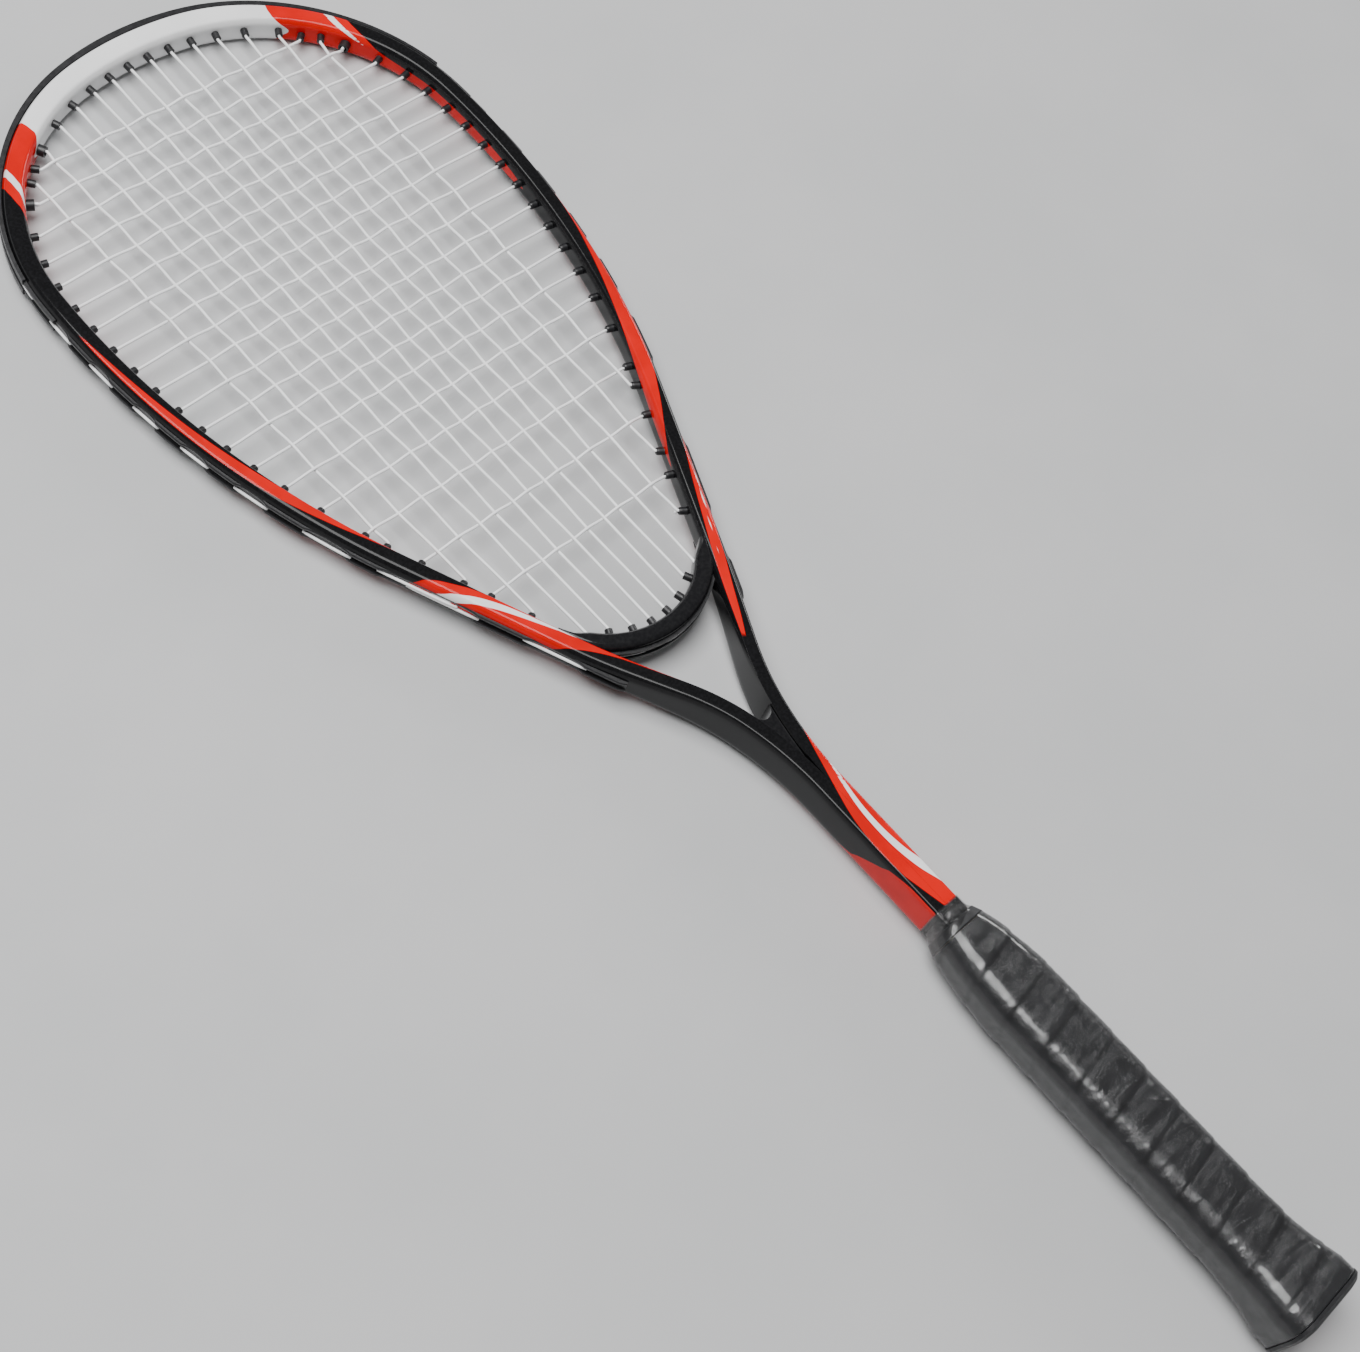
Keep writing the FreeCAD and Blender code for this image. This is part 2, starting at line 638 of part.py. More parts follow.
bumper_end = size("bumper_reach")
proud = size("tip_wall") + size("bumper_rise")
bumper_half = size("bumper_width") / 2
seat_gap, crown_step = size("seat_gap"), size("crown_step")
cover_end = bumper_end - 20
flange_seat = lambda station: outer_wall(station) + seat_gap
flange_crown = lambda station: bumper_crown(station) + crown_step
core = swollen_band(-bumper_end, bumper_end, lambda s: GROOVE_FLOOR, bumper_crown, -strip_half, strip_half)
cover = swollen_band(-cover_end, cover_end, flange_seat, flange_crown, -bumper_half, bumper_half)
slot = band(-bumper_end - 1, bumper_end + 1, CHANNEL_FLOOR, proud + 5, -channel, channel)
bumper = core.fuse(cover).cut(slot)
on_bumper = [h for h in TIP + LEFT + RIGHT if not h.on_bridge and abs(h.station(h.wrap)) < bumper_end]
add_shape("tip_bumper", strip_with_barrels(bumper, on_bumper))

for side, label in ((-1, "grommet_strip_left"), (1, "grommet_strip_right")):
    first, last = sorted((side * (bumper_end + 0.4), side * (size("strip_reach") - 0.4)))
    strip = band(first, last, GROOVE_FLOOR, CHANNEL_FLOOR + rail, -strip_half, strip_half)
    slot = band(first - 1, last + 1, CHANNEL_FLOOR, OUTER_WALL + 5, -channel, channel)
    holes = [h for h in EVERY_HOLE if not h.on_bridge and first < h.station(h.wrap) < last]
    add_shape(label, strip_with_barrels(strip.cut(slot), holes))

bridge_reach = math.radians(42) - 0.02
strip = bridge_band(bridge_reach, bridge_width - groove_depth, BRIDGE_FLOOR + rail, -strip_half, strip_half)
slot = bridge_band(bridge_reach + 0.1, BRIDGE_FLOOR, BRIDGE_FLOOR + 5, -channel, channel)
add_shape("grommet_strip_bridge", strip_with_barrels(strip.cut(slot), [h for h in THROAT if h.on_bridge]))

# ---------------------------------------------------------------- strings
gauge = size("string_radius")


def straight_string(first, second):
    """A string across the bed from one hole's barrel to another's."""
    return rod(first.bend(), second.bend(), gauge).multiFuse([first.string_end(), second.string_end()])


def tie_off(hole, shared):
    """A free end that goes round to a shared hole and back through it to its knot."""
    back = rod(shared.axis_point(shared.floor, hole.lift), knot_centre(hole, shared, 0), gauge)
    return turn(hole, shared, hole.lift).fuse(back)


def knot_centre(hole, shared, rise):
    inside = shared.mouth - shared.direction * (size("barrel_reach") + 1.6)
    return inside + Vector(0, 0, hole.lift + math.copysign(rise, hole.lift))


add_shape("main_strings", Part.makeCompound([straight_string(a, b) for a, b in zip(TIP, THROAT)]))
add_shape("cross_strings", Part.makeCompound([straight_string(a, b) for a, b in zip(LEFT, RIGHT)]))

half = MAIN_COUNT // 2
main_turns = [turn(TIP[k], TIP[k + 1], STRING_LIFT) for k in range(half, MAIN_COUNT - 1, 2)]
main_turns += [turn(TIP[k - 1], TIP[k], STRING_LIFT) for k in range(half - 1, 0, -2)]
main_turns += [turn(THROAT[k], THROAT[k + 1], STRING_LIFT) for k in range(0, MAIN_COUNT, 2)]
main_turns += [tie_off(hole, shared) for hole, shared in TIE_OFFS[:2]]
add_shape("main_string_turns", Part.makeCompound(main_turns))

cross_turns = [turn(RIGHT[k], RIGHT[k + 1], -STRING_LIFT) for k in range(0, CROSS_COUNT - 1, 2)]
cross_turns += [turn(LEFT[k], LEFT[k + 1], -STRING_LIFT) for k in range(1, CROSS_COUNT - 1, 2)]
cross_turns += [tie_off(hole, shared) for hole, shared in TIE_OFFS[2:]]
add_shape("cross_string_turns", Part.makeCompound(cross_turns))

knots = []
for hole, shared in TIE_OFFS:
    ball = Part.makeSphere(1.5, knot_centre(hole, shared, 0.9))
    tail = rod(shared.axis_point(shared.floor, hole.lift), knot_centre(hole, shared, 0), gauge)
    bed = shared.bend()
    inwards = rod(bed, bed - shared.bed * 12, gauge + 0.05)
    passing = inwards.fuse(rod(bed, bed + shared.direction * 5, gauge + 0.05))
    knots.append(ball.cut([tail, passing, Part.makeSphere(gauge + 0.05, bed)]))
add_shape("string_knots", Part.makeCompound(knots))

# ---------------------------------------------------------------- the handle
film_in = "sizes.film_thickness"
grip_out = f"{film_in} + sizes.layer_gap"
grip_in = f"{grip_out} + sizes.grip_thickness"
tape_out = f"{grip_in} + sizes.layer_gap"
tape_in = f"{tape_out} + sizes.underlay_thickness"
pallet_out = f"{tape_in} + sizes.layer_gap"
grip_end = "sizes.grip_top - sizes.tape_width - 0.1"


def sleeve(name, outside, inside, low, high, flared=True):
    """A tube that follows the handle's outline between two depths and two heights."""
    outer = stack(f"{name}_outer", handle_rows(outside, low, high, flared))
    inner = stack(f"{name}_inner", handle_rows(inside, f"{low} - 0.02", f"{high} + 0.02", flared))
    return boolean("Part::Cut", name, outer, inner)


film = sleeve("film", "0", film_in, "sizes.lip_height + 0.2", "sizes.grip_top")
finish(film, "grip_film")
grip = sleeve("band", grip_out, grip_in, "sizes.lip_height + 0.2", grip_end)
finish(grip, "grip_band")
underlay = sleeve("underlay", tape_out, tape_in, "sizes.cap_height + 0.5", grip_end, False)
finish(underlay, "grip_underlay")

# Four staples hold the cap to the pallets: two in front and two behind.
staples = []
wire, leg = size("staple_wire"), size("staple_leg")
crown_depth = size("grip_depth") / 2 - 2.7
for face in (-1, 1):
    for x in (-1, 1):
        centre = Vector(x * 4.5, size("staple_height"), face * crown_depth)
        across = size("staple_width")
        crown = Part.makeBox(wire, across, wire, centre - Vector(wire / 2, across / 2, wire / 2))
        legs = []
        for end in (-1, 1):
            y = centre.y + end * (size("staple_width") - wire) / 2
            z = centre.z - leg if face > 0 else centre.z
            legs.append(Part.makeBox(wire, wire, leg, Vector(centre.x - wire / 2, y - wire / 2, z)))
        staples.append(crown.multiFuse(legs).removeSplitter())
staple_tool = tool_shape("staple_tool", Part.makeCompound(staples))
add_shape("cap_staples", Part.makeCompound(staples))

# The butt cap: a cup with a lip that the grip ends against, and a recess for the badge.
lip_out = ("sizes.grip_width / 2 + sizes.flare", "sizes.grip_depth / 2 + sizes.flare")
lip = stack(
    "cap_lip",
    [
        ("0", f"{lip_out[0]} - 3.2", f"{lip_out[1]} - 3.2", "sizes.grip_corner - 2"),
        ("0.7", f"{lip_out[0]} - 1.3", f"{lip_out[1]} - 1.3", "sizes.grip_corner - 1"),
        ("2", lip_out[0], lip_out[1], "sizes.grip_corner"),
        ("sizes.lip_height", lip_out[0], lip_out[1], "sizes.grip_corner"),
    ],
)
skirt_rows = handle_rows(tape_out, "sizes.lip_height - 0.1", "sizes.grip_top")[:3]
flat = "sizes.grip_width / 2 - ({0})", "sizes.grip_depth / 2 - ({0})"
skirt_end = [
    ("sizes.cap_height", flat[0].format(pallet_out), flat[1].format(pallet_out), f"sizes.grip_corner - ({pallet_out})")
]
skirt = stack("cap_skirt", skirt_rows + skirt_end)
cup_outer = boolean("Part::Fuse", "cap_outer", lip, skirt)
cup_depth = f"{pallet_out} + sizes.cap_wall"
cup_size = (flat[0].format(cup_depth), flat[1].format(cup_depth), "sizes.grip_corner - 4.5")
cup_inner = stack("cap_inner", [("sizes.cap_wall",) + cup_size, ("sizes.cap_height + 1",) + cup_size])
cup = boolean("Part::Cut", "cap_cup", cup_outer, cup_inner)
badge_rows = [
    (height, f"sizes.badge_width / 2 + {play}", f"sizes.badge_depth / 2 + {play}", "sizes.badge_depth / 3")
    for height, play in (("-0.5", 0.05), ("sizes.badge_thickness", 0.05))
]
recess = stack("badge_recess", badge_rows)
recessed = boolean("Part::Cut", "cap_recessed", cup, recess)
finish(boolean("Part::Cut", "cap", recessed, staple_tool), "butt_cap")
badge = stack(
    "badge",
    [
        (height, "sizes.badge_width / 2", "sizes.badge_depth / 2", "sizes.badge_depth / 3")
        for height in ("0", "sizes.badge_thickness")
    ],
)
finish(badge, "butt_badge")

# Two pallets of foam, left and right of the shaft, stepped in where the cap goes over them.
pallet_long = stack("pallet_long", handle_rows(pallet_out, "sizes.cap_height + 0.2", "sizes.grip_top", False))
inner_size = (flat[0].format(f"{cup_depth} + 0.1"), flat[1].format(f"{cup_depth} + 0.1"), "sizes.grip_corner - 4.6")
pallet_foot = stack("pallet_foot", [("sizes.cap_wall + 0.4",) + inner_size, ("sizes.cap_height + 1",) + inner_size])
pallet_whole = boolean("Part::Fuse", "pallet_whole", pallet_long, pallet_foot)
shaft_room = tool_shape(
    "shaft_room",
    Part.makeBox(
        size("shaft_width") + 0.3,
        size("grip_top") + 10,
        size("shaft_depth") + 0.3,
        Vector(-size("shaft_width") / 2 - 0.15, -5, -size("shaft_depth") / 2 - 0.15),
    ),
)
pallet_pair = boolean("Part::Cut", "pallet_pair", pallet_whole, shaft_room)
for side, label in ((-1, "pallet_left"), (1, "pallet_right")):
    half_space = doc.addObject("Part::Box", f"{label}_side")
    half_space.Width, half_space.Length, half_space.Height = 240, 40, 60
    half_space.Placement.Base = Vector(0.05 if side > 0 else -40.05, -5, -30)
    piece = boolean("Part::Common", f"{label}_whole", pallet_pair, half_space)
    finish(boolean("Part::Cut", f"{label}_cut", piece, staple_tool), label)



def tape_rows(depth):
    """The last few millimetres of the handle, between the end of the band and the top of the pallets."""
    slope = "sizes.tape_width / sizes.neck_in"
    rows = []
    for height, share in (("sizes.grip_top - sizes.tape_width", slope), ("sizes.grip_top", "0")):
        width = f"sizes.top_width / 2 - ({depth}) + (sizes.grip_width - sizes.top_width) / 2 * {share}"
        through = f"sizes.top_depth / 2 - ({depth}) + (sizes.grip_depth - sizes.top_depth) / 2 * {share}"
        rows.append((height, width, through, f"sizes.grip_corner - ({depth})"))
    return rows


tape_outer, tape_inner = stack("tape_outer", tape_rows(grip_out)), stack("tape_inner", tape_rows(grip_in))
tape_ring = boolean("Part::Cut", "tape", tape_outer, tape_inner)
finish(tape_ring, "finishing_tape")

# ---------------------------------------------------------------- small pieces on the shaft


def shaft_loop(height, gap):
    """The outline of the whole shaft, moved out by a gap."""
    half_width, half_depth = size("shaft_width") / 2 + gap, size("shaft_depth") / 2 + gap
    quarter = [(half_width - 0.6, half_depth), (half_width, half_depth - 2.2)]
    corners = quarter + [(x, -z) for x, z in reversed(quarter)]
    corners += [(-x, z) for x, z in reversed(corners)]
    radii = [0.8, 0.9, 0.9, 0.8] * 2
    return Part.Face(rounded_loop([Vector(x, height, z) for x, z in corners], radii))


collar_low, collar_run = size("grip_top") + 1.0, Vector(0, size("collar_width"), 0)
thick = size("collar_thickness")
collar_outer, collar_inner = shaft_loop(collar_low, thick + 0.05), shaft_loop(collar_low, 0.05)
collar = collar_outer.extrude(collar_run).cut(collar_inner.extrude(collar_run))
add_shape("collar_tape", collar)

plugs = []
for side in (-1, 1):
    plug = Part.Face(tube_section(side * line.length, size("tube_wall") + 0.1))
    plug.translate(Vector(0, size("shaft_start") + 1 - line.end.y, 0))
    plugs.append(plug.extrude(Vector(0, 12, 0)))
add_shape("leg_plugs", Part.makeCompound(plugs))

# ---------------------------------------------------------------- checks and export
doc.recompute()
for obj in doc.Objects:
    if "Invalid" in obj.State or "Error" in obj.State:
        raise RuntimeError(f"{obj.Label} did not recompute: {obj.State}")
for obj in PARTS:
    if obj.Shape.isNull() or not obj.Shape.isValid() or not obj.Shape.Solids:
        raise RuntimeError(f"{obj.Label} has no valid solid")

os.makedirs("parts", exist_ok=True)
for obj in PARTS:
    obj.Shape.exportStep(f"parts/{obj.Label}.step")
    box = obj.Shape.BoundBox
    solids, volume = len(obj.Shape.Solids), obj.Shape.Volume
    print(f"{obj.Label:24s} solids {solids:3d}  volume {volume:10.1f}  y {box.YMin:8.1f} {box.YMax:8.1f}")
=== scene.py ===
"""Squash racket: paint, woven strings, wrapped handle and studio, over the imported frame. Laid out as an add-on."""

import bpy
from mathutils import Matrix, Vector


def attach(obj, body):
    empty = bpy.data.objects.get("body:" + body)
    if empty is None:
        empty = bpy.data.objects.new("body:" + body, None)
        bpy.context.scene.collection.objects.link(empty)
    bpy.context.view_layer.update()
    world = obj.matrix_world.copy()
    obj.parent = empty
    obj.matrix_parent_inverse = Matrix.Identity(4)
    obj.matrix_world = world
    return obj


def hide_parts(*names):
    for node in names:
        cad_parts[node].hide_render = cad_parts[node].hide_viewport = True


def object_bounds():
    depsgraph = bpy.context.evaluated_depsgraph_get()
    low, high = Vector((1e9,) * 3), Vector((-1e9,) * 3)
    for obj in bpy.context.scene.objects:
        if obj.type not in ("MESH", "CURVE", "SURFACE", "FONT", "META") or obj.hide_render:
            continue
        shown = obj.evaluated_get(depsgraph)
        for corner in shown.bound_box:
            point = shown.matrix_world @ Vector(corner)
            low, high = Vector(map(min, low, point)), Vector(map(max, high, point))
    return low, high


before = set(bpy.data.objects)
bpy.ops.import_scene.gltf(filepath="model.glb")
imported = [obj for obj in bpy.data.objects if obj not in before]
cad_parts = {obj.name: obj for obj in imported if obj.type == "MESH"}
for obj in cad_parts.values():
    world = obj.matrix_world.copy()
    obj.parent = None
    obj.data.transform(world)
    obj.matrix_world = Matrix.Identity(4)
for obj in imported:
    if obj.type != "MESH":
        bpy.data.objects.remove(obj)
CAD_BOX = [list(corner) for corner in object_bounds()]

import math

import bmesh
import bpy
import numpy as np
from bpy.props import FloatProperty, FloatVectorProperty, PointerProperty
from mathutils import Matrix, Vector, noise

bl_info = {
    "name": "Squash racket",
    "version": (1, 0, 0),
    "blender": (4, 5, 0),
    "location": "View3D > Sidebar > Racket",
    "description": "Builds a strung squash racket over its packed frame",
    "category": "Object",
}

MM = 0.001
BASE_Y = CAD_BOX[0][1] / MM
BASE_Z = 16.3


def place(x, y, z):
    """A point given from the butt's centre, in millimetres, as a point of the scene."""
    return Vector((x * MM, (y + BASE_Y) * MM, (z + BASE_Z) * MM))


# ---------------------------------------------------------------- sizes and colours
class RacketFrameSettings(bpy.types.PropertyGroup):
    wall_out: FloatProperty(name="Outer wall", description="Outer wall of the tube from its line, mm", default=5.2)
    depth: FloatProperty(name="Head depth", description="Tube through the head, mm", default=12.4)
    shaft_depth: FloatProperty(name="Shaft depth", description="Shaft through, mm", default=18.8)
    shaft_width: FloatProperty(name="Shaft width", description="Shaft across, mm", default=12.4)
    black: FloatVectorProperty(
        name="Black", description="Base paint", subtype="COLOR", size=4, default=(0.005, 0.005, 0.0055, 1)
    )
    red: FloatVectorProperty(
        name="Red", description="Flashes", subtype="COLOR", size=4, default=(0.66, 0.0015, 0.0015, 1)
    )
    white: FloatVectorProperty(
        name="White", description="Tip and swooshes", subtype="COLOR", size=4, default=(0.83, 0.83, 0.83, 1)
    )


class RacketStringSettings(bpy.types.PropertyGroup):
    gauge: FloatProperty(name="Gauge", description="Thickness of the string, mm", default=1.25)
    colour: FloatVectorProperty(
        name="String", description="Multifilament string", subtype="COLOR", size=4, default=(0.94, 0.945, 0.95, 1)
    )


class RacketGripSettings(bpy.types.PropertyGroup):
    pitch: FloatProperty(name="Wrap pitch", description="Advance of the band for each turn, mm", default=17.0)
    ridge: FloatProperty(name="Overlap", description="Height of the band's overlapping edge, mm", default=0.45)
    band: FloatVectorProperty(
        name="Band", description="Soft band of the grip", subtype="COLOR", size=4, default=(0.016, 0.017, 0.019, 1)
    )


# ---------------------------------------------------------------- the line of the head
LEG_OFFSET = 4.6


class HeadLine:
    """Line of the frame tube: tangent arcs from the tip, down one side, through the neck and down the shaft."""

    def __init__(self):
        self.pieces, self.point, self.heading = [], Vector((0, 676.2)), 0.0
        for radius, angle in ((139.1, 11.5), (89.7, 76.0), (362.6, 27.0)):
            self.arc(radius, math.radians(angle), 1)
        taper, neck = self.heading - math.pi / 2, 147.5
        self.straight((self.point.x - LEG_OFFSET - neck * (1 - math.cos(taper))) / math.sin(taper))
        self.neck = self.length()
        self.arc(neck, taper, -1)
        self.leg = self.length()
        self.straight(self.point.y - 14.0)

    def length(self):
        return sum(piece[3] for piece in self.pieces)

    def arc(self, radius, angle, turn):
        centre = self.point - Vector((math.sin(self.heading), math.cos(self.heading))) * (turn * radius)
        self.pieces.append((centre, radius, turn, radius * angle, self.heading))
        self.heading += turn * angle
        self.point = centre + Vector((math.sin(self.heading), math.cos(self.heading))) * (turn * radius)

    def straight(self, length):
        self.pieces.append((self.point, 0.0, 0, length, self.heading))
        self.point = self.point + Vector((math.cos(self.heading), -math.sin(self.heading))) * length

    def frame(self, station):
        """The point at a station and the outward direction there. Stations are negative on the -X side."""
        rest, side = abs(station), (1 if station >= 0 else -1)
        for piece in self.pieces:
            if rest <= piece[3] or piece is self.pieces[-1]:
                break
            rest -= piece[3]
        start, radius, turn, _, heading = piece
        if turn:
            heading += turn * rest / radius
        out = Vector((math.sin(heading), math.cos(heading)))
        if turn:
            point = start + out * (turn * radius)
        else:
            point = start + Vector((math.cos(heading), -math.sin(heading))) * rest
        return Vector((point.x * side, point.y)), Vector((out.x * side, out.y))

    def at(self, station, offset=0.0, lift=0.0):
        point, out = self.frame(station)
        return Vector((point.x + out.x * offset, point.y + out.y * offset, lift))

    def meet(self, origin, direction, first, last, offset):
        """The station at which the line, moved by offset, meets a straight string."""
        side = Vector((-direction.y, direction.x))

        def miss(station):
            return (self.at(station, offset).xy - origin).dot(side)

        marks = [first + (last - first) * k / 90 for k in range(91)]
        for low, high in zip(marks, marks[1:]):
            if miss(low) * miss(high) <= 0:
                for _ in range(30):
                    middle = (low + high) / 2
                    low, high = (low, middle) if miss(low) * miss(middle) <= 0 else (middle, high)
                return low
        return None


LINE = HeadLine()
BRIDGE_RADIUS, BRIDGE_EDGE = 39.4, 345.0
TIP_INNER, SIDE_INNER = 4.5, 3.2


def ease(value, low, high):
    k = min(1.0, max(0.0, (abs(value) - low) / (high - low)))
    return k * k * (3 - 2 * k)


def inner_wall(station):
    return TIP_INNER + (SIDE_INNER - TIP_INNER) * ease(station, 20, 170)


# ---------------------------------------------------------------- meshes
def link_object(name, data):
    obj = bpy.data.objects.new(name, data)
    bpy.context.scene.collection.objects.link(obj)
    return obj


def new_object(name, vertices, faces, smooth=True):
    mesh = bpy.data.meshes.new(name)
    mesh.from_pydata([tuple(v) for v in vertices], [], faces)
    mesh.validate()
    mesh.update()
    if smooth:
        mesh.shade_smooth()
    return link_object(name, mesh)


def wall_faces(rows, count, looped=False):
    """Four-sided faces between neighbouring rings. Looped, the last ring joins the first."""
    faces = []
    for k in range(rows if looped else rows - 1):
        here, after = k * count, (k + 1) % rows * count
        for j in range(count):
            n = (j + 1) % count
            faces.append((here + j, here + n, after + n, after + j))
    return faces


def skin(name, rings):
    """A tube through rings of points, closed at both ends."""
    count = len(rings[0])
    vertices = [p for ring in rings for p in ring]
    faces = wall_faces(len(rings), count)
    faces.append(tuple(range(count)))
    faces.append(tuple(range((len(rings) - 1) * count, len(rings) * count))[::-1])
    obj = new_object(name, vertices, faces)
    fix_normals(obj)
    return obj


def fix_normals(obj):
    work = bmesh.new()
    work.from_mesh(obj.data)
    bmesh.ops.remove_doubles(work, verts=work.verts, dist=1e-7)
    bmesh.ops.recalc_face_normals(work, faces=work.faces)
    work.to_mesh(obj.data)
    work.free()


def add_field(obj, name, values):
    field = obj.data.attributes.new(name, "FLOAT", "POINT")
    field.data.foreach_set("value", np.asarray(values, dtype=np.float32))


def sharp_by_angle(obj, degrees):
    obj.data.set_sharp_from_angle(angle=math.radians(degrees))


def hand_in(obj, nodes):
    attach(obj, "root")
    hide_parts(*nodes)


# ---------------------------------------------------------------- materials
class Shader:
    """A node material with helpers for its usual parts."""

    def __init__(self, name, **inputs):
        self.material = bpy.data.materials.new(name)
        self.material.use_nodes = True
        self.tree = self.material.node_tree
        self.nodes, self.links = self.tree.nodes, self.tree.links
        self.bsdf = next(n for n in self.nodes if n.type == "BSDF_PRINCIPLED")
        for key, value in inputs.items():
            self.bsdf.inputs[key.replace("_", " ")].default_value = value

    def node(self, kind, **settings):
        node = self.nodes.new(kind)
        for key, value in settings.items():
            setattr(node, key, value)
        return node

    def link(self, out, into):
        self.links.new(out, into)

    def coords(self):
        return self.node("ShaderNodeTexCoord").outputs["Object"]

    def noise(self, scale, detail=4.0, rough=0.55, stretch=None):
        node = self.node("ShaderNodeTexNoise")
        node.inputs["Scale"].default_value = scale
        node.inputs["Detail"].default_value = detail
        node.inputs["Roughness"].default_value = rough
        source = self.coords()
        if stretch:
            mapping = self.node("ShaderNodeMapping")
            mapping.inputs["Scale"].default_value = stretch
            self.link(source, mapping.inputs["Vector"])
            source = mapping.outputs["Vector"]
        self.link(source, node.inputs["Vector"])
        return node.outputs["Fac"]

    def field(self, name):
        node = self.node("ShaderNodeAttribute", attribute_name=name)
        return node.outputs["Fac"]

    def remap(self, value, low, high, to_low=0.0, to_high=1.0):
        node = self.node("ShaderNodeMapRange", interpolation_type="SMOOTHSTEP")
        for key, number in (("From Min", low), ("From Max", high), ("To Min", to_low), ("To Max", to_high)):
            node.inputs[key].default_value = number
        self.link(value, node.inputs["Value"])
        return node.outputs["Result"]

    def math(self, operation, a, b):
        node = self.node("ShaderNodeMath", operation=operation)
        for socket, value in zip(node.inputs, (a, b)):
            if isinstance(value, (int, float)):
                socket.default_value = value
            else:
                self.link(value, socket)
        return node.outputs[0]

    def mix(self, factor, a, b):
        node = self.node("ShaderNodeMix", data_type="RGBA")
        for socket, value in ((node.inputs[0], factor), (node.inputs[6], a), (node.inputs[7], b)):
            if isinstance(value, (int, float)):
                socket.default_value = value
            elif isinstance(value, (tuple, list)) or hasattr(value, "__len__"):
                socket.default_value = tuple(value)
            else:
                self.link(value, socket)
        return node.outputs[2]

    def bump(self, height, strength, distance):
        node = self.node("ShaderNodeBump")
        node.inputs["Strength"].default_value = strength
        node.inputs["Distance"].default_value = distance
        self.link(height, node.inputs["Height"])
        self.link(node.outputs["Normal"], self.bsdf.inputs["Normal"])
        return node

    def patches(self, one, other, scale, top=0.7, **texture):
        """Two colours in soft patches."""
        return self.mix(self.remap(self.noise(scale, **texture), 0.3, top), one, other)

    def uneven(self, scale, detail, low, high, top=0.7):
        """Roughness that wanders between two values."""
        self.roughness(self.remap(self.noise(scale, detail), 0.3, top, low, high))

    def colour(self, value):
        self.link(value, self.bsdf.inputs["Base Color"])

    def roughness(self, value):
        self.link(value, self.bsdf.inputs["Roughness"])


def paint_material(settings):
    """Clear-coated paint. The fields red_edge and white_edge hold each flash's distance from its edge."""
    m = Shader("racket_paint", Coat_Weight=0.5, Coat_Roughness=0.04, Coat_IOR=1.36, Specular_IOR_Level=0.05)
    mottle = m.noise(900.0, 3.0)
    black = m.mix(m.remap(mottle, 0.35, 0.75), settings.black, (0.009, 0.009, 0.010, 1))
    deep = [c * 0.82 for c in settings.red[:3]] + [1]
    red = m.patches(settings.red, deep, 60.0)
    white = m.patches(settings.white, (0.76, 0.765, 0.77, 1), 40.0)
    body = m.mix(m.remap(m.field("red_edge"), -0.12, 0.12), black, red)
    body = m.mix(m.remap(m.field("white_edge"), -0.12, 0.12), body, white)
    scuff = m.remap(m.noise(260.0, 8.0, 0.7, (1.0, 0.35, 1.0)), 0.66, 0.74)
    body = m.mix(m.math("MULTIPLY", scuff, 0.10), body, (0.32, 0.32, 0.33, 1))
    m.colour(body)
    m.uneven(420.0, 6.0, 0.16, 0.26, 0.75)
    m.bump(m.noise(500.0, 2.0), 0.02, 0.0001)
    return m.material


def nylon_material(name, base, light, rough):
    m = Shader(name, Specular_IOR_Level=0.45)
    m.colour(m.patches(base, light, 700.0, 0.75))
    m.uneven(500.0, 6.0, rough, rough + 0.16)
    m.bump(m.noise(2600.0, 3.0), 0.18, 0.0003)
    return m.material


def gloss_black_material():
    m = Shader("gloss_black", Coat_Weight=0.6, Coat_Roughness=0.04, Coat_IOR=1.36, Specular_IOR_Level=0.05)
    m.colour(m.patches((0.007, 0.007, 0.008, 1), (0.013, 0.013, 0.014, 1), 700.0, 0.75))
    m.uneven(420.0, 6.0, 0.16, 0.30, 0.75)
    m.bump(m.noise(500.0, 2.0), 0.02, 0.0001)
    return m.material


def string_material(settings):
    """Multifilament: fine spiral ribs from the string's own coordinates, and a satin coat."""
    m = Shader("multifilament", Coat_Weight=0.25, Coat_Roughness=0.2)
    uv = m.node("ShaderNodeUVMap", uv_map="run").outputs["UV"]
    wave = m.node("ShaderNodeTexWave", wave_type="BANDS", bands_direction="DIAGONAL")
    wave.inputs["Scale"].default_value = 3.0
    wave.inputs["Distortion"].default_value = 0.6
    m.link(uv, wave.inputs["Vector"])
    ribs = wave.outputs["Fac"]
    shade = m.patches(settings.colour, (0.88, 0.885, 0.89, 1), 90.0)
    m.colour(m.mix(m.math("MULTIPLY", ribs, 0.10), shade, (0.55, 0.56, 0.57, 1)))
    m.uneven(800.0, 4.0, 0.28, 0.42)
    m.bump(ribs, 0.12, 0.00008)
    return m.material


def grip_material(settings):
    """Soft polyurethane band: fine grain, faint sheen and darker seams."""
    m = Shader("grip_band", Coat_Weight=0.35, Coat_Roughness=0.16, Specular_IOR_Level=0.35)
    seam = m.remap(m.field("seam"), 0.0, 1.0)
    tone = m.patches(settings.band, (0.024, 0.025, 0.028, 1), 70.0, detail=5.0, rough=0.6, stretch=(1.0, 0.5, 1.0))
    m.colour(m.mix(m.math("MULTIPLY", seam, 0.6), tone, (0.006, 0.006, 0.007, 1)))
    m.uneven(300.0, 6.0, 0.34, 0.5)
    grain = m.node("ShaderNodeTexVoronoi", feature="F1")
    grain.inputs["Scale"].default_value = 1400.0
    m.link(m.coords(), grain.inputs["Vector"])
    creases = m.noise(110.0, 6.0, 0.65, (1.0, 0.45, 1.0))
    height = m.math("ADD", m.math("MULTIPLY", grain.outputs["Distance"], 0.12), creases)
    m.bump(height, 0.5, 0.0012)
    return m.material


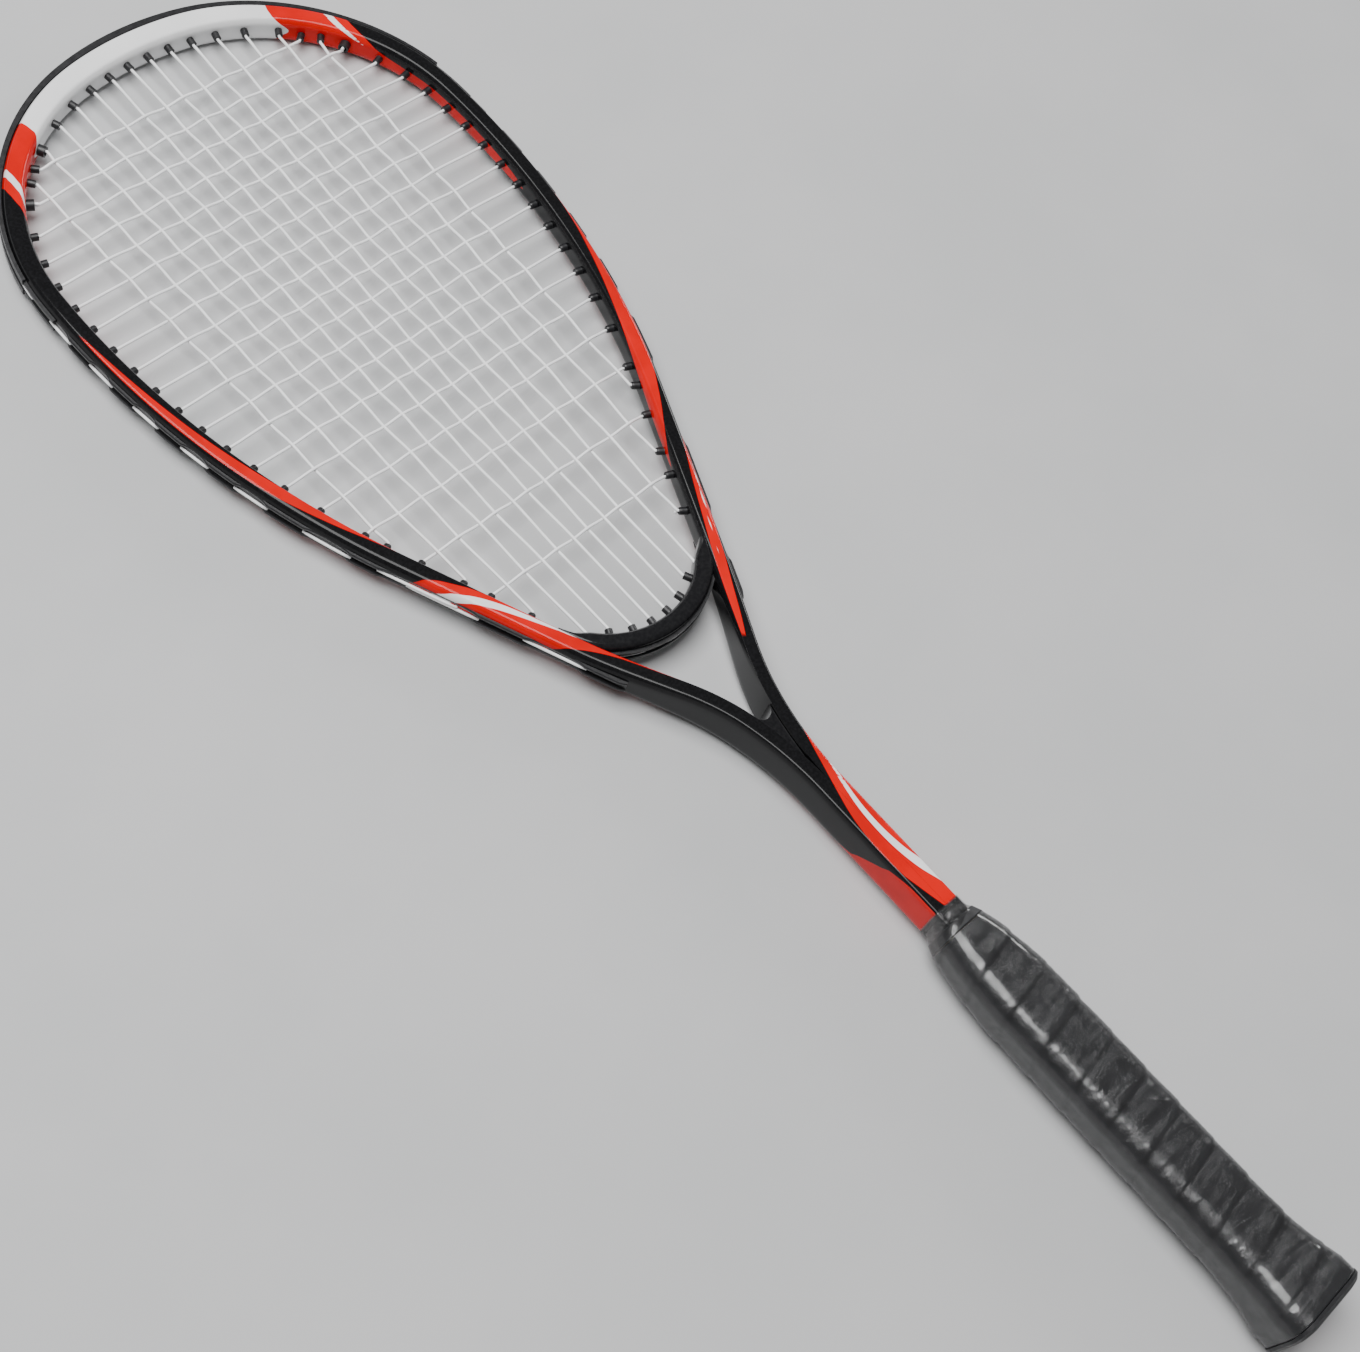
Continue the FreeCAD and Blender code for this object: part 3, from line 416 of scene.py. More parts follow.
def film_material():
    """Thin clear film: shrunk on, with fine creases that break up its highlight."""
    m = Shader("clear_film", Alpha=0.30, IOR=1.5, Specular_IOR_Level=1.0, Coat_Weight=1.0, Coat_Roughness=0.06)
    m.colour(m.patches((0.012, 0.012, 0.013, 1), (0.03, 0.03, 0.032, 1), 80.0))
    m.uneven(150.0, 6.0, 0.10, 0.26)
    fold = m.node("ShaderNodeTexNoise")
    fold.inputs["Scale"].default_value = 95.0
    fold.inputs["Detail"].default_value = 7.0
    fold.inputs["Roughness"].default_value = 0.62
    fold.inputs["Distortion"].default_value = 0.8
    mapping = m.node("ShaderNodeMapping")
    mapping.inputs["Rotation"].default_value = (0.0, 0.0, math.radians(14))
    mapping.inputs["Scale"].default_value = (0.55, 1.9, 0.55)
    m.link(m.coords(), mapping.inputs["Vector"])
    m.link(mapping.outputs["Vector"], fold.inputs["Vector"])
    m.bump(fold.outputs["Fac"], 0.55, 0.0022)
    return m.material


# ---------------------------------------------------------------- paint scheme
def smooth_outline(points, rounds=2):
    """Corner cutting, so that the flashes run in curves. The first and last points of the list stay sharp."""
    for _ in range(rounds):
        cut = []
        for a, b in zip(points, points[1:]):
            cut += [(a[0] * 0.75 + b[0] * 0.25, a[1] * 0.75 + b[1] * 0.25)]
            cut += [(a[0] * 0.25 + b[0] * 0.75, a[1] * 0.25 + b[1] * 0.75)]
        points = [points[0]] + cut + [points[-1]]
    return points


def flash(*sides):
    """A closed outline from smooth sides that meet in sharp corners."""
    outline = []
    for side in sides:
        outline += smooth_outline(list(side))[:-1]
    return np.array(outline)


def inside_distance(outline, x, y):
    """Distance of many points from an outline, positive inside."""
    best = np.full(x.shape, 1e9)
    odd = np.zeros(x.shape, dtype=bool)
    for (ax, ay), (bx, by) in zip(outline, np.roll(outline, -1, axis=0)):
        dx, dy = bx - ax, by - ay
        span = dx * dx + dy * dy
        if span < 1e-12:
            continue
        t = np.clip(((x - ax) * dx + (y - ay) * dy) / span, 0, 1)
        best = np.minimum(best, np.hypot(x - ax - t * dx, y - ay - t * dy))
        crosses = (ay > y) != (by > y)
        odd ^= crosses & (x < dx * (y - ay) / (dy if abs(dy) > 1e-12 else 1e-12) + ax)
    return np.where(odd, best, -best)


# Flashes on the head: distance from the tip along the tube, then height round the section, where 9 and -10 are the
# middles of the outer and inner walls, and 3 and -3 the edges of the front facet.
WHITE_TIP = flash(
    [(-1, 20), (61, 20), (61, 9), (61, 3), (62.5, -0.5), (65.5, -4.5), (70, -7.5), (72, -10), (67, -13), (65, -20)],
    [(65, -20), (-1, -20)],
    [(-1, -20), (-1, 20)],
)
RED_SHOULDER = flash(
    [(55, 20), (88, 20), (90, 9), (94, 3), (100, -0.6), (107, -4.5), (114, -8), (126, -9.2)],
    [(126, -9.2), (150, -8.4), (180, -8.2), (198, -9), (204, -11)],
    [(204, -11), (200, -12.8), (180, -14.6), (158, -17.5), (140, -20)],
    [(140, -20), (55, -20)],
    [(55, -20), (55, 20)],
)
WHITE_SWOOSH = flash(
    [(84.0, 5), (84.6, 3.0), (90.5, -1.8), (98, -5.3), (107, -8.0)],
    [(107, -8.0), (101, -5.0), (94, -1.2), (88.3, 3.0), (87.5, 5)],
    [(87.5, 5), (84.0, 5)],
)
LEFT_SIDE = {
    "red": [
        flash(
            [(160, 2.6), (175, 3.3), (250, 3.3), (275, 1.3), (300, -1.6), (330, -5.5), (352, -8.5)],
            [(352, -8.5), (325, -8.5), (290, -5.5), (262, -2.7), (230, -0.9), (200, 0.2), (160, 2.6)],
        ),
        flash(
            [(324, 9), (326, 6.5), (332, 1.6), (342, -1.2), (352, -3.4), (375, -4.6), (400, -4.4), (440, -2.7)],
            [(440, -2.7), (420, -2.5), (405, -1.8), (395, 0.9), (386, 5), (381, 9)],
            [(381, 9), (324, 9)],
        ),
    ],
    "white": [
        flash(
            [(333, 9), (335, 6.8), (343, 2.8), (352, -0.6), (366, -2.6), (396, -3.7)],
            [(396, -3.7), (382, -2.0), (361, 0.6), (350, 3.6), (343, 6.8), (341, 9)],
            [(341, 9), (333, 9)],
        ),
    ],
}
RIGHT_SIDE = {
    "red": [
        flash(
            [(208, 4.2), (235, 4.4), (285, 4.2), (300, 3.2), (310, 2.1), (325, -0.2), (340, -3.9), (355, -9)],
            [(355, -9), (325, -8.8), (300, -5.2), (280, -2.7), (250, 0.6), (235, 2.0), (208, 4.2)],
        ),
        flash(
            [(330, 9), (342, 3.1), (360, 0.9), (380, -1.1), (400, -2.9), (418, -3.1), (438, -1.6)],
            [(438, -1.6), (425, 0.1), (410, 1.0), (396, 2.2), (382, 3.2), (374, 9)],
            [(374, 9), (330, 9)],
        ),
    ],
    "white": [
        flash(
            [(352, 4.0), (361, 2.5), (375, 1.3), (402, -0.6)],
            [(402, -0.6), (376, 1.9), (363, 3.2), (356, 4.0)],
            [(356, 4.0), (352, 4.0)],
        ),
    ],
}

# Flashes on the shaft's front facet: height above the butt, then distance across.
SHAFT_RED = flash(
    [(290, 12), (280, 8.3), (270, 5.1), (260, 2.2), (250, -0.8), (240, -3.6), (230, -5.0), (220, -5.2), (210, -4.7)],
    [(210, -4.7), (200, -2.6), (192, -0.8)],
    [(192, -0.8), (192, 14)],
    [(192, 14), (290, 14)],
    [(290, 14), (290, 12)],
)
SHAFT_WHITE = flash(
    [(270, 8.2), (258, 4.7), (250, 2.7), (240, 0.8), (230, 0.2), (220, 0.5), (210, 2.1), (205, 3.6), (196, 6.8)],
    [(196, 6.8), (207, 6.8)],
    [(207, 6.8), (210, 5.8), (215, 4.3), (221, 3.2), (230, 2.5), (240, 2.8), (250, 4.3), (258, 5.7), (270, 8.2)],
)
# Flash on the shaft's left wall: height above the butt, then height round the section.
SHAFT_WALL_RED = flash(
    [(242, 15.5), (231, 11.8), (220.5, 8), (211, 4.9), (204, 3.7), (192, 3.6)],
    [(192, 3.6), (192, 18)],
    [(192, 18), (242, 18)],
    [(242, 18), (242, 15.5)],
)


def paint_fields(station, around, behind, x, y):
    """red_edge and white_edge for many vertices: distances in millimetres from the nearest edge of each colour.

    The back facet repeats the front facet's pattern, turned half round the racket's long axis.
    """
    along = np.abs(station)
    right = (station >= 0) ^ behind
    red = inside_distance(RED_SHOULDER, along, around)
    white = np.maximum(inside_distance(WHITE_TIP, along, around), inside_distance(WHITE_SWOOSH, along, around))
    for side, mask in ((LEFT_SIDE, ~right), (RIGHT_SIDE, right)):
        for outline in side["red"]:
            red = np.where(mask, np.maximum(red, inside_distance(outline, along, around)), red)
        for outline in side["white"]:
            white = np.where(mask, np.maximum(white, inside_distance(outline, along, around)), white)
    facet = (np.abs(around) < 3.6) | behind
    across = np.where(behind, -x, x)
    turned = np.where(x < 0, around, 18 - around)
    wall = inside_distance(SHAFT_WALL_RED, y, turned)
    shaft = np.where(facet, inside_distance(SHAFT_RED, y, across), np.where(around > 0, wall, -9))
    shaft_white = np.where(facet, inside_distance(SHAFT_WHITE, y, across), -9)
    leg = y < 296
    return np.where(leg, shaft, red), np.where(leg, shaft_white, white)


# ---------------------------------------------------------------- the frame tube
LEG_GAP = 0.03


def section(station, settings):
    """Points round the tube's section and their height round it, from the middle of the inner wall."""
    tip, slim = 1 - ease(station, 20, 90), ease(station, LINE.neck - 45, LINE.neck + 25)

    def mix(head, leg):
        return head + (leg - head) * slim

    outside = mix(settings.wall_out + 1.6 * tip, settings.shaft_width / 2 - LEG_OFFSET)
    inside = mix(inner_wall(station), LEG_OFFSET - LEG_GAP)
    deep = mix(settings.depth, settings.shaft_depth) / 2
    front_out, front_in = outside - mix(1.5, 0.6), inside - mix(1.3, 0.0)
    shoulder = deep - mix(2.4, 2.2)
    corners = [
        (-inside, 0.0, -10, 0.0),
        (-inside, shoulder, -6, mix(1.1, 0.02)),
        (-front_in, deep, -3, mix(0.9, 0.02)),
        (front_out, deep, 3, 0.8),
        (outside, shoulder, 5.5, 1.0),
        (outside, 0.0, 9, 0.0),
        (outside, -shoulder, 12.5, 1.0),
        (front_out, -deep, 15, 0.8),
        (-front_in, -deep, -17, mix(0.9, 0.02)),
        (-inside, -shoulder, -14, mix(1.1, 0.02)),
    ]
    steps = (4, 4, 6, 3, 4, 4, 3, 6, 4, 4)
    points = []
    for k, (ax, az, av, _) in enumerate(corners):
        bx, bz, bv, _ = corners[(k + 1) % len(corners)]
        for j in range(steps[k]):
            t = j / steps[k]
            behind = k == 7 and j > 0
            around = 3 - 6 * t if behind else av + (bv - av) * t
            points.append([ax + (bx - ax) * t, az + (bz - az) * t, around, behind])
    return rounded(points, steps, corners)


def rounded(points, steps, corners):
    """Each corner of the section pulled in by its radius, with the points beside it drawn along the walls."""
    total, result, index = len(points), [list(p) for p in points], 0
    for k, corner in enumerate(corners):
        radius = corner[3]
        if radius > 0.05:
            here, before, after = points[index], points[index - 1], points[(index + 1) % total]
            for other, place_at in ((before, index - 1), (after, (index + 1) % total)):
                run = math.hypot(other[0] - here[0], other[1] - here[1])
                t = min(1.0, radius / run)
                result[place_at][0] = here[0] + (other[0] - here[0]) * t
                result[place_at][1] = here[1] + (other[1] - here[1]) * t
            middle = [(result[index - 1][i] + result[(index + 1) % total][i]) / 2 for i in range(2)]
            result[index][0] = here[0] * 0.5 + middle[0] * 0.5
            result[index][1] = here[1] * 0.5 + middle[1] * 0.5
        index += steps[k]
    return result


def build_frame_tube(settings):
    reach = LINE.length()
    stations = [-reach]
    while stations[-1] < reach - 0.01:
        step = 2.0 if abs(stations[-1]) < LINE.leg + 70 else 6.0
        stations.append(min(reach, stations[-1] + step))
    rings, fields = [], []
    for station in stations:
        ring = []
        for across, up, around, behind in section(station, settings):
            point = LINE.at(station, across, up)
            ring.append(place(*point))
            fields.append((station, around, behind, point.x, point.y))
        rings.append(ring)
    tube = skin("frame_tube_painted", rings)
    station, around, behind, x, y = (np.array(column) for column in zip(*fields))
    red, white = paint_fields(station, around, behind, x, y)
    if len(tube.data.vertices) != len(red):
        raise RuntimeError("the tube lost vertices, so its paint would slide")
    add_field(tube, "red_edge", red)
    add_field(tube, "white_edge", white)
    sharp_by_angle(tube, 50)
    tube.data.materials.append(paint_material(settings))
    hand_in(tube, ["frame_tube"])
    return tube


# ---------------------------------------------------------------- where the strings run
STRING_LIFT, BARREL_REACH = 0.63, 3.2
HEAD_WRAP, BRIDGE_WRAP = 5.65, 8.05
MAIN_COUNT, CROSS_COUNT = 14, 19
FAN_HEIGHT, FAN_APEX = 640.0, -1600.0
RIBS_PER_METRE = 200.0


def bridge_at(angle, offset=0.0):
    out = Vector((math.sin(angle), -math.cos(angle)))
    return Vector((0, BRIDGE_EDGE + BRIDGE_RADIUS)) + out * (BRIDGE_RADIUS + offset)


class StringHole:
    """Where one string crosses the wall: its bend inside the bed and its way out to the wrap round the outside."""

    def __init__(self, origin, direction, first=None, last=None):
        self.first, self.last, self.on_bridge = first, last, first is None
        self.wrap = BRIDGE_WRAP if self.on_bridge else HEAD_WRAP
        inner = 0.0 if self.on_bridge else -inner_wall(self.meet(origin, direction, -SIDE_INNER))
        station = self.meet(origin, direction, inner)
        self.mouth = self.track(station, inner)
        outward = (self.track(station, inner + 1) - self.mouth).normalized()
        self.direction = (direction * 0.15 + outward * 0.85).normalized()
        self.bend = self.mouth - self.direction * (BARREL_REACH + 0.6)
        self.turn = self.meet(self.mouth, self.direction, self.wrap)
        self.outside = self.track(self.turn, self.wrap)

    def track(self, station, offset):
        return bridge_at(station, offset) if self.on_bridge else LINE.at(station, offset).xy

    def meet(self, origin, direction, offset):
        if not self.on_bridge:
            return LINE.meet(origin, direction, self.first, self.last, offset)
        run = origin - Vector((0, BRIDGE_EDGE + BRIDGE_RADIUS))
        along = run.dot(direction)
        reach = math.sqrt((BRIDGE_RADIUS + offset) ** 2 - run.length_squared + along**2) - along
        point = run + direction * reach
        return math.atan2(point.x, -point.y)


def cross_heights():
    heights = [648.3]
    for k in range(1, CROSS_COUNT):
        heights.append(heights[-1] - 12.0 - 2.2 * max(0.0, (4 - k) / 3) - 14.5 * max(0.0, (k - 11) / 7) ** 2.5)
    return heights


def string_holes():
    tip, throat, left, right = [], [], [], []
    reach = LINE.neck
    for k in range(MAIN_COUNT):
        step = k - (MAIN_COUNT - 1) / 2
        point = Vector((9.8 * step + 0.0368 * step**3, FAN_HEIGHT))
        up = (point - Vector((0, FAN_APEX))).normalized()
        side = 1 if point.x > 0 else -1
        tip.append(StringHole(point, up, 0.0, side * reach * 0.35))
        foot = LINE.meet(point, -up, side * reach * 0.4, side * reach, -SIDE_INNER)
        on_arm = foot is not None and abs(LINE.at(foot).x) > BRIDGE_RADIUS * 0.85
        span = (side * reach * 0.4, side * reach) if on_arm else (None, None)
        throat.append(StringHole(point, -up, *span))
    for height in cross_heights():
        for side, found in ((-1, left), (1, right)):
            found.append(StringHole(Vector((0, height)), Vector((side, 0)), side * 20.0, side * reach * 0.9))
    return tip, throat, left, right


def woven(first, second, crossings, lift, end_lift):
    """A string from hole to hole: over and under each crossing, and out through both barrels."""
    run = second.bend - first.bend
    marks = [(0.0, end_lift)]
    for k, point in enumerate(crossings):
        marks.append(((point - first.bend).dot(run) / run.length, lift * (1 if k % 2 == 0 else -1)))
    marks = sorted(marks + [(run.length, end_lift)])
    path = [(*first.outside, end_lift), (*first.mouth, end_lift)]
    for (start, low), (stop, high) in zip(marks, marks[1:]):
        steps = max(2, int((stop - start) / 1.3))
        for j in range(steps):
            t = j / steps
            swing = (1 - math.cos(math.pi * t)) / 2
            flat = first.bend + run * ((start + (stop - start) * t) / run.length)
            path.append((flat.x, flat.y, low + (high - low) * swing))
    path += [(*second.bend, end_lift), (*second.mouth, end_lift), (*second.outside, end_lift)]
    return path


def turn_path(first, second, lift):
    """A string round the outside of the frame from one hole to the next."""
    steps = 8
    low, high = first.turn, second.turn
    path = [(*first.mouth, lift)]
    for k in range(steps + 1):
        point = first.track(low + (high - low) * k / steps, first.wrap)
        path.append((*point, lift))
    return path + [(*second.mouth, lift)]


def crossing(a, b, c, d):
    """Where the straight lines a-b and c-d cross."""
    u, v = b - a, d - c
    t = ((c - a).x * v.y - (c - a).y * v.x) / (u.x * v.y - u.y * v.x)
    return a + u * t, t


def wire_object(name, paths):
    vertices, edges = [], []
    for path in paths:
        start = len(vertices)
        vertices += [place(*point) for point in path]
        edges += [(start + k, start + k + 1) for k in range(len(path) - 1)]
    mesh = bpy.data.meshes.new(name)
    mesh.from_pydata([tuple(v) for v in vertices], edges, [])
    return link_object(name, mesh)


# ---------------------------------------------------------------- geometry nodes
def new_tree(name, *sockets):
    tree = bpy.data.node_groups.new(name, "GeometryNodeTree")
    tree.interface.new_socket("Geometry", in_out="INPUT", socket_type="NodeSocketGeometry")
    tree.interface.new_socket("Geometry", in_out="OUTPUT", socket_type="NodeSocketGeometry")
    for label, kind in sockets:
        tree.interface.new_socket(label, in_out="INPUT", socket_type=kind)
    return tree


def end_tree(tree, entry, geometry):
    """The end of each tree: instances made real, in the material that the tree is given."""
    add, link = tree.nodes.new, tree.links.new
    real, paint = add("GeometryNodeRealizeInstances"), add("GeometryNodeSetMaterial")
    leave = add("NodeGroupOutput")
    link(geometry, real.inputs["Geometry"])
    link(real.outputs["Geometry"], paint.inputs["Geometry"])
    link(entry.outputs["Material"], paint.inputs["Material"])
    link(paint.outputs["Geometry"], leave.inputs["Geometry"])
    return tree


def string_tree():
    """Edges become round strings, with a map that runs along and round each string."""
    tree = new_tree(
        "string_tube", ("Radius", "NodeSocketFloat"), ("Sides", "NodeSocketInt"), ("Material", "NodeSocketMaterial")
    )
    add, link = tree.nodes.new, tree.links.new
    entry = add("NodeGroupInput")
    curve, tube = add("GeometryNodeMeshToCurve"), add("GeometryNodeCurveToMesh")
    circle = add("GeometryNodeCurvePrimitiveCircle")
    link(entry.outputs["Geometry"], curve.inputs["Mesh"])
    link(entry.outputs["Radius"], circle.inputs["Radius"])
    link(entry.outputs["Sides"], circle.inputs["Resolution"])
    grabs = []
    for source, output in ((curve.outputs["Curve"], "Length"), (circle.outputs["Curve"], "Factor")):
        grab, parameter = add("GeometryNodeCaptureAttribute"), add("GeometryNodeSplineParameter")
        grab.capture_items.new("FLOAT", "along")
        link(source, grab.inputs["Geometry"])
        link(parameter.outputs[output], grab.inputs["along"])
        grabs.append(grab)
    link(grabs[0].outputs["Geometry"], tube.inputs["Curve"])
    link(grabs[1].outputs["Geometry"], tube.inputs["Profile Curve"])
    tube.inputs["Fill Caps"].default_value = True
    pair, scale = add("ShaderNodeCombineXYZ"), add("ShaderNodeMath")
    scale.operation = "MULTIPLY"
    scale.inputs[1].default_value = RIBS_PER_METRE
    link(grabs[0].outputs["along"], scale.inputs[0])
    link(scale.outputs[0], pair.inputs["X"])
    link(grabs[1].outputs["along"], pair.inputs["Y"])
    store = add("GeometryNodeStoreNamedAttribute")
    store.data_type, store.domain = "FLOAT2", "CORNER"
    store.inputs["Name"].default_value = "run"
    link(tube.outputs["Mesh"], store.inputs["Geometry"])
    link(pair.outputs["Vector"], store.inputs["Value"])
    return end_tree(tree, entry, store.outputs["Geometry"])


def run_tree(obj, tree, **values):
    """Runs a tree on an object and keeps the plain mesh that it makes."""
    modifier = obj.modifiers.new("build", "NODES")
    modifier.node_group = tree
    for item in tree.interface.items_tree:
        if item.in_out == "INPUT" and item.name in values:
            modifier[item.identifier] = values[item.name]
    depsgraph = bpy.context.evaluated_depsgraph_get()
    mesh = bpy.data.meshes.new_from_object(obj.evaluated_get(depsgraph), depsgraph=depsgraph)
    obj.modifiers.clear()
    obj.data = mesh
    mesh.shade_smooth()
    if not mesh.polygons:
        raise RuntimeError(f"{obj.name}: the tree made no faces")
    return obj


def cross_pairs(left, right):
    """Neighbouring holes on each side between which a cross string turns."""
    pairs = [(right[j], right[j + 1]) for j in range(0, CROSS_COUNT - 1, 2)]
    return pairs + [(left[j], left[j + 1]) for j in range(1, CROSS_COUNT - 1, 2)]


def build_strings(settings):
    tip, throat, left, right = string_holes()
    material, tree = string_material(settings), string_tree()
    groups = {"main_strings": [], "cross_strings": [], "main_string_turns": [], "cross_string_turns": []}
    for i, (top, foot) in enumerate(zip(tip, throat)):
        points = []
        for a, b in zip(left, right):
            point, t = crossing(top.bend, foot.bend, a.bend, b.bend)
            if 0.0 < t < 1.0:
                points.append(point)
        lift = STRING_LIFT if i % 2 == 0 else -STRING_LIFT
        groups["main_strings"].append(woven(top, foot, points, lift, STRING_LIFT))
    for k, (a, b) in enumerate(zip(left, right)):
        points, sign = [], None
        for i, (top, foot) in enumerate(zip(tip, throat)):
            point, t = crossing(a.bend, b.bend, top.bend, foot.bend)
            if 0.0 < t < 1.0:
                first_cross = crossed_before(top, foot, left, right, k)
                over = (1 if i % 2 == 0 else -1) * (1 if first_cross % 2 == 0 else -1)
                sign = -over if sign is None else sign
                points.append(point)
        groups["cross_strings"].append(woven(a, b, points, STRING_LIFT * (sign or 1), -STRING_LIFT))
    half = len(tip) // 2
    pairs = [(tip[j], tip[j + 1]) for j in range(half, len(tip) - 1, 2)]
    pairs += [(tip[j - 1], tip[j]) for j in range(half - 1, 0, -2)]
    pairs += [(throat[j], throat[j + 1]) for j in range(0, len(throat), 2)]
    pairs += [(tip[0], left[1]), (tip[-1], right[1])]
    groups["main_string_turns"] = [turn_path(a, b, STRING_LIFT) for a, b in pairs if a.on_bridge == b.on_bridge]
    pairs = cross_pairs(left, right)
    pairs += [(left[0], tip[1]), (right[-1], throat[-3])]
    groups["cross_string_turns"] = [turn_path(a, b, -STRING_LIFT) for a, b in pairs if a.on_bridge == b.on_bridge]
    for name, paths in groups.items():
        obj = run_tree(
            wire_object(name + "_woven", paths), tree, Radius=settings.gauge / 2 * MM, Sides=10, Material=material
        )
        hand_in(obj, [name])
    return material


def crossed_before(top, foot, left, right, k):
    """How many crosses a main has met before cross k, counted from the tip."""
    count = 0
    for a, b in list(zip(left, right))[:k]:
        _, t = crossing(top.bend, foot.bend, a.bend, b.bend)
        count += 0.0 < t < 1.0
    return count


# ---------------------------------------------------------------- grommet strips
STRIP_HALF, CHANNEL_HALF, GROOVE_FLOOR, CHANNEL_FLOOR, RAIL, RAIL_DIP = 3.05, 1.5, 4.05, 5.0, 1.4, 1.15
STRIP_START, STRIP_END, END_ROUND = 155.6, 415.4, 0.4
BARREL_LENGTH = 6.5


def rail_height(turn, spans, end):
    """Height of a strip's rails: they dip where a string turns from one hole to the next, and round off at the end."""
    height = RAIL
    for low, high in spans:
        middle, half = (low + high) / 2, (high - low) / 2 - 0.5
        t = abs(turn - middle) / max(half, 0.5)
        if t < 1:
            height = min(height, RAIL - RAIL_DIP * (1 - t * t) ** 0.5)
    return min(height, RAIL * max(0.1, min(1.0, (end - abs(turn)) / 4.0)) ** 0.5)


def strip_rings(first, last, spans, end):
    rings = []
    count = int(abs(last - first) / 0.9)
    for k in range(count + 1):
        turn = first + (last - first) * k / count
        top = CHANNEL_FLOOR + rail_height(turn, spans, end)
        shape = [
            (GROOVE_FLOOR, STRIP_HALF),
            (top - 0.35, STRIP_HALF),
            (top, STRIP_HALF - 0.35),
            (top, CHANNEL_HALF + 0.3),
            (top - 0.25, CHANNEL_HALF),
            (CHANNEL_FLOOR, CHANNEL_HALF),
        ]
        shape += [(offset, -half) for offset, half in shape[::-1]]
        rings.append([place(*LINE.at(turn, offset, up)) for offset, up in shape])
    return rings


def barrel_mesh():
    """One barrel along +Z: a rounded mouth with its bore, from the bed back to the strip."""
    radius, bore, length = 1.6, 0.75, BARREL_LENGTH
    profile = [(bore, length - 1.6), (bore, length - 0.15), (bore + 0.2, length), (radius - 0.3, length)]
    profile += [(radius - 0.06, length - 0.3), (radius, length - 1.2), (radius + 0.1, 0.0)]
    around = 14
    vertices, faces = [], wall_faces(len(profile), around)
    for r, z in profile:
        for j in range(around):
            angle = 2 * math.pi * j / around
            vertices.append((r * math.cos(angle) * MM, r * math.sin(angle) * MM, z * MM))
    faces.append(tuple(range(around)))
    last = (len(profile) - 1) * around
    faces.append(tuple(range(last, last + around)))
    obj = new_object("barrel_pattern", vertices, faces)
    fix_normals(obj)
    return obj


def barrel_tree():
    """One barrel at each point, turned along the point's own direction."""
    sockets = (("Barrel", "NodeSocketObject"), ("Size", "NodeSocketFloat"), ("Material", "NodeSocketMaterial"))
    tree = new_tree("barrels_on_holes", *sockets)
    add, link = tree.nodes.new, tree.links.new
    entry = add("NodeGroupInput")
    info, instance = add("GeometryNodeObjectInfo"), add("GeometryNodeInstanceOnPoints")
    points, named = add("GeometryNodeMeshToPoints"), add("GeometryNodeInputNamedAttribute")
    aim = add("FunctionNodeAlignRotationToVector")
    named.data_type = "FLOAT_VECTOR"
    named.inputs["Name"].default_value = "aim"
    aim.axis = "Z"
    link(entry.outputs["Geometry"], points.inputs["Mesh"])
    link(entry.outputs["Barrel"], info.inputs["Object"])
    link(named.outputs["Attribute"], aim.inputs["Vector"])
    link(points.outputs["Points"], instance.inputs["Points"])
    link(info.outputs["Geometry"], instance.inputs["Instance"])
    link(aim.outputs["Rotation"], instance.inputs["Rotation"])
    link(entry.outputs["Size"], instance.inputs["Scale"])
    return end_tree(tree, entry, instance.outputs["Instances"])


def build_strips(material):
    tip, throat, left, right = string_holes()
    tree, pattern = barrel_tree(), barrel_mesh()
    pairs = cross_pairs(left, right)
    pairs += [(throat[j], throat[j + 1]) for j in range(0, len(throat), 2) if not throat[j].on_bridge]
    for side, word in ((-1, "left"), (1, "right")):
        spans = [sorted((a.turn, b.turn)) for a, b in pairs if not (a.on_bridge or b.on_bridge) and a.turn * side > 0]
        rings = strip_rings(side * STRIP_START, side * STRIP_END, spans, STRIP_END + END_ROUND)
        strip = skin("strip_" + word, rings)
        strip.data.materials.append(material)
        sharp_by_angle(strip, 40)
        every = tip + throat + left + right
        holes = [h for h in every if not h.on_bridge and STRIP_START < h.turn * side < STRIP_END]
        barrels = barrels_at(f"barrels_{word}", holes, tree, pattern, material)
        join_into(strip, barrels)
        hand_in(strip, ["grommet_strip_" + word])
    bpy.data.objects.remove(pattern)


def barrels_at(name, holes, tree, pattern, material):
    roots, aims = [], []
    for hole in holes:
        aim = Vector((-hole.direction.x, -hole.direction.y, 0))
        tip_end = hole.mouth - hole.direction * BARREL_REACH
        roots.append(place(tip_end.x - aim.x * BARREL_LENGTH, tip_end.y - aim.y * BARREL_LENGTH, 0))
        aims.append(aim)
    mesh = bpy.data.meshes.new(name)
    mesh.from_pydata([tuple(v) for v in roots], [], [])
    field = mesh.attributes.new("aim", "FLOAT_VECTOR", "POINT")
    field.data.foreach_set("vector", [c for aim in aims for c in aim])
    return run_tree(link_object(name, mesh), tree, Barrel=pattern, Size=1.0, Material=material)


def join_into(target, extra):
    """Adds one mesh to another, both with their places in their vertices."""
    work = bmesh.new()
    work.from_mesh(target.data)
    work.from_mesh(extra.data)
    work.to_mesh(target.data)
    work.free()
    bpy.data.objects.remove(extra)
    target.data.shade_smooth()
    sharp_by_angle(target, 40)


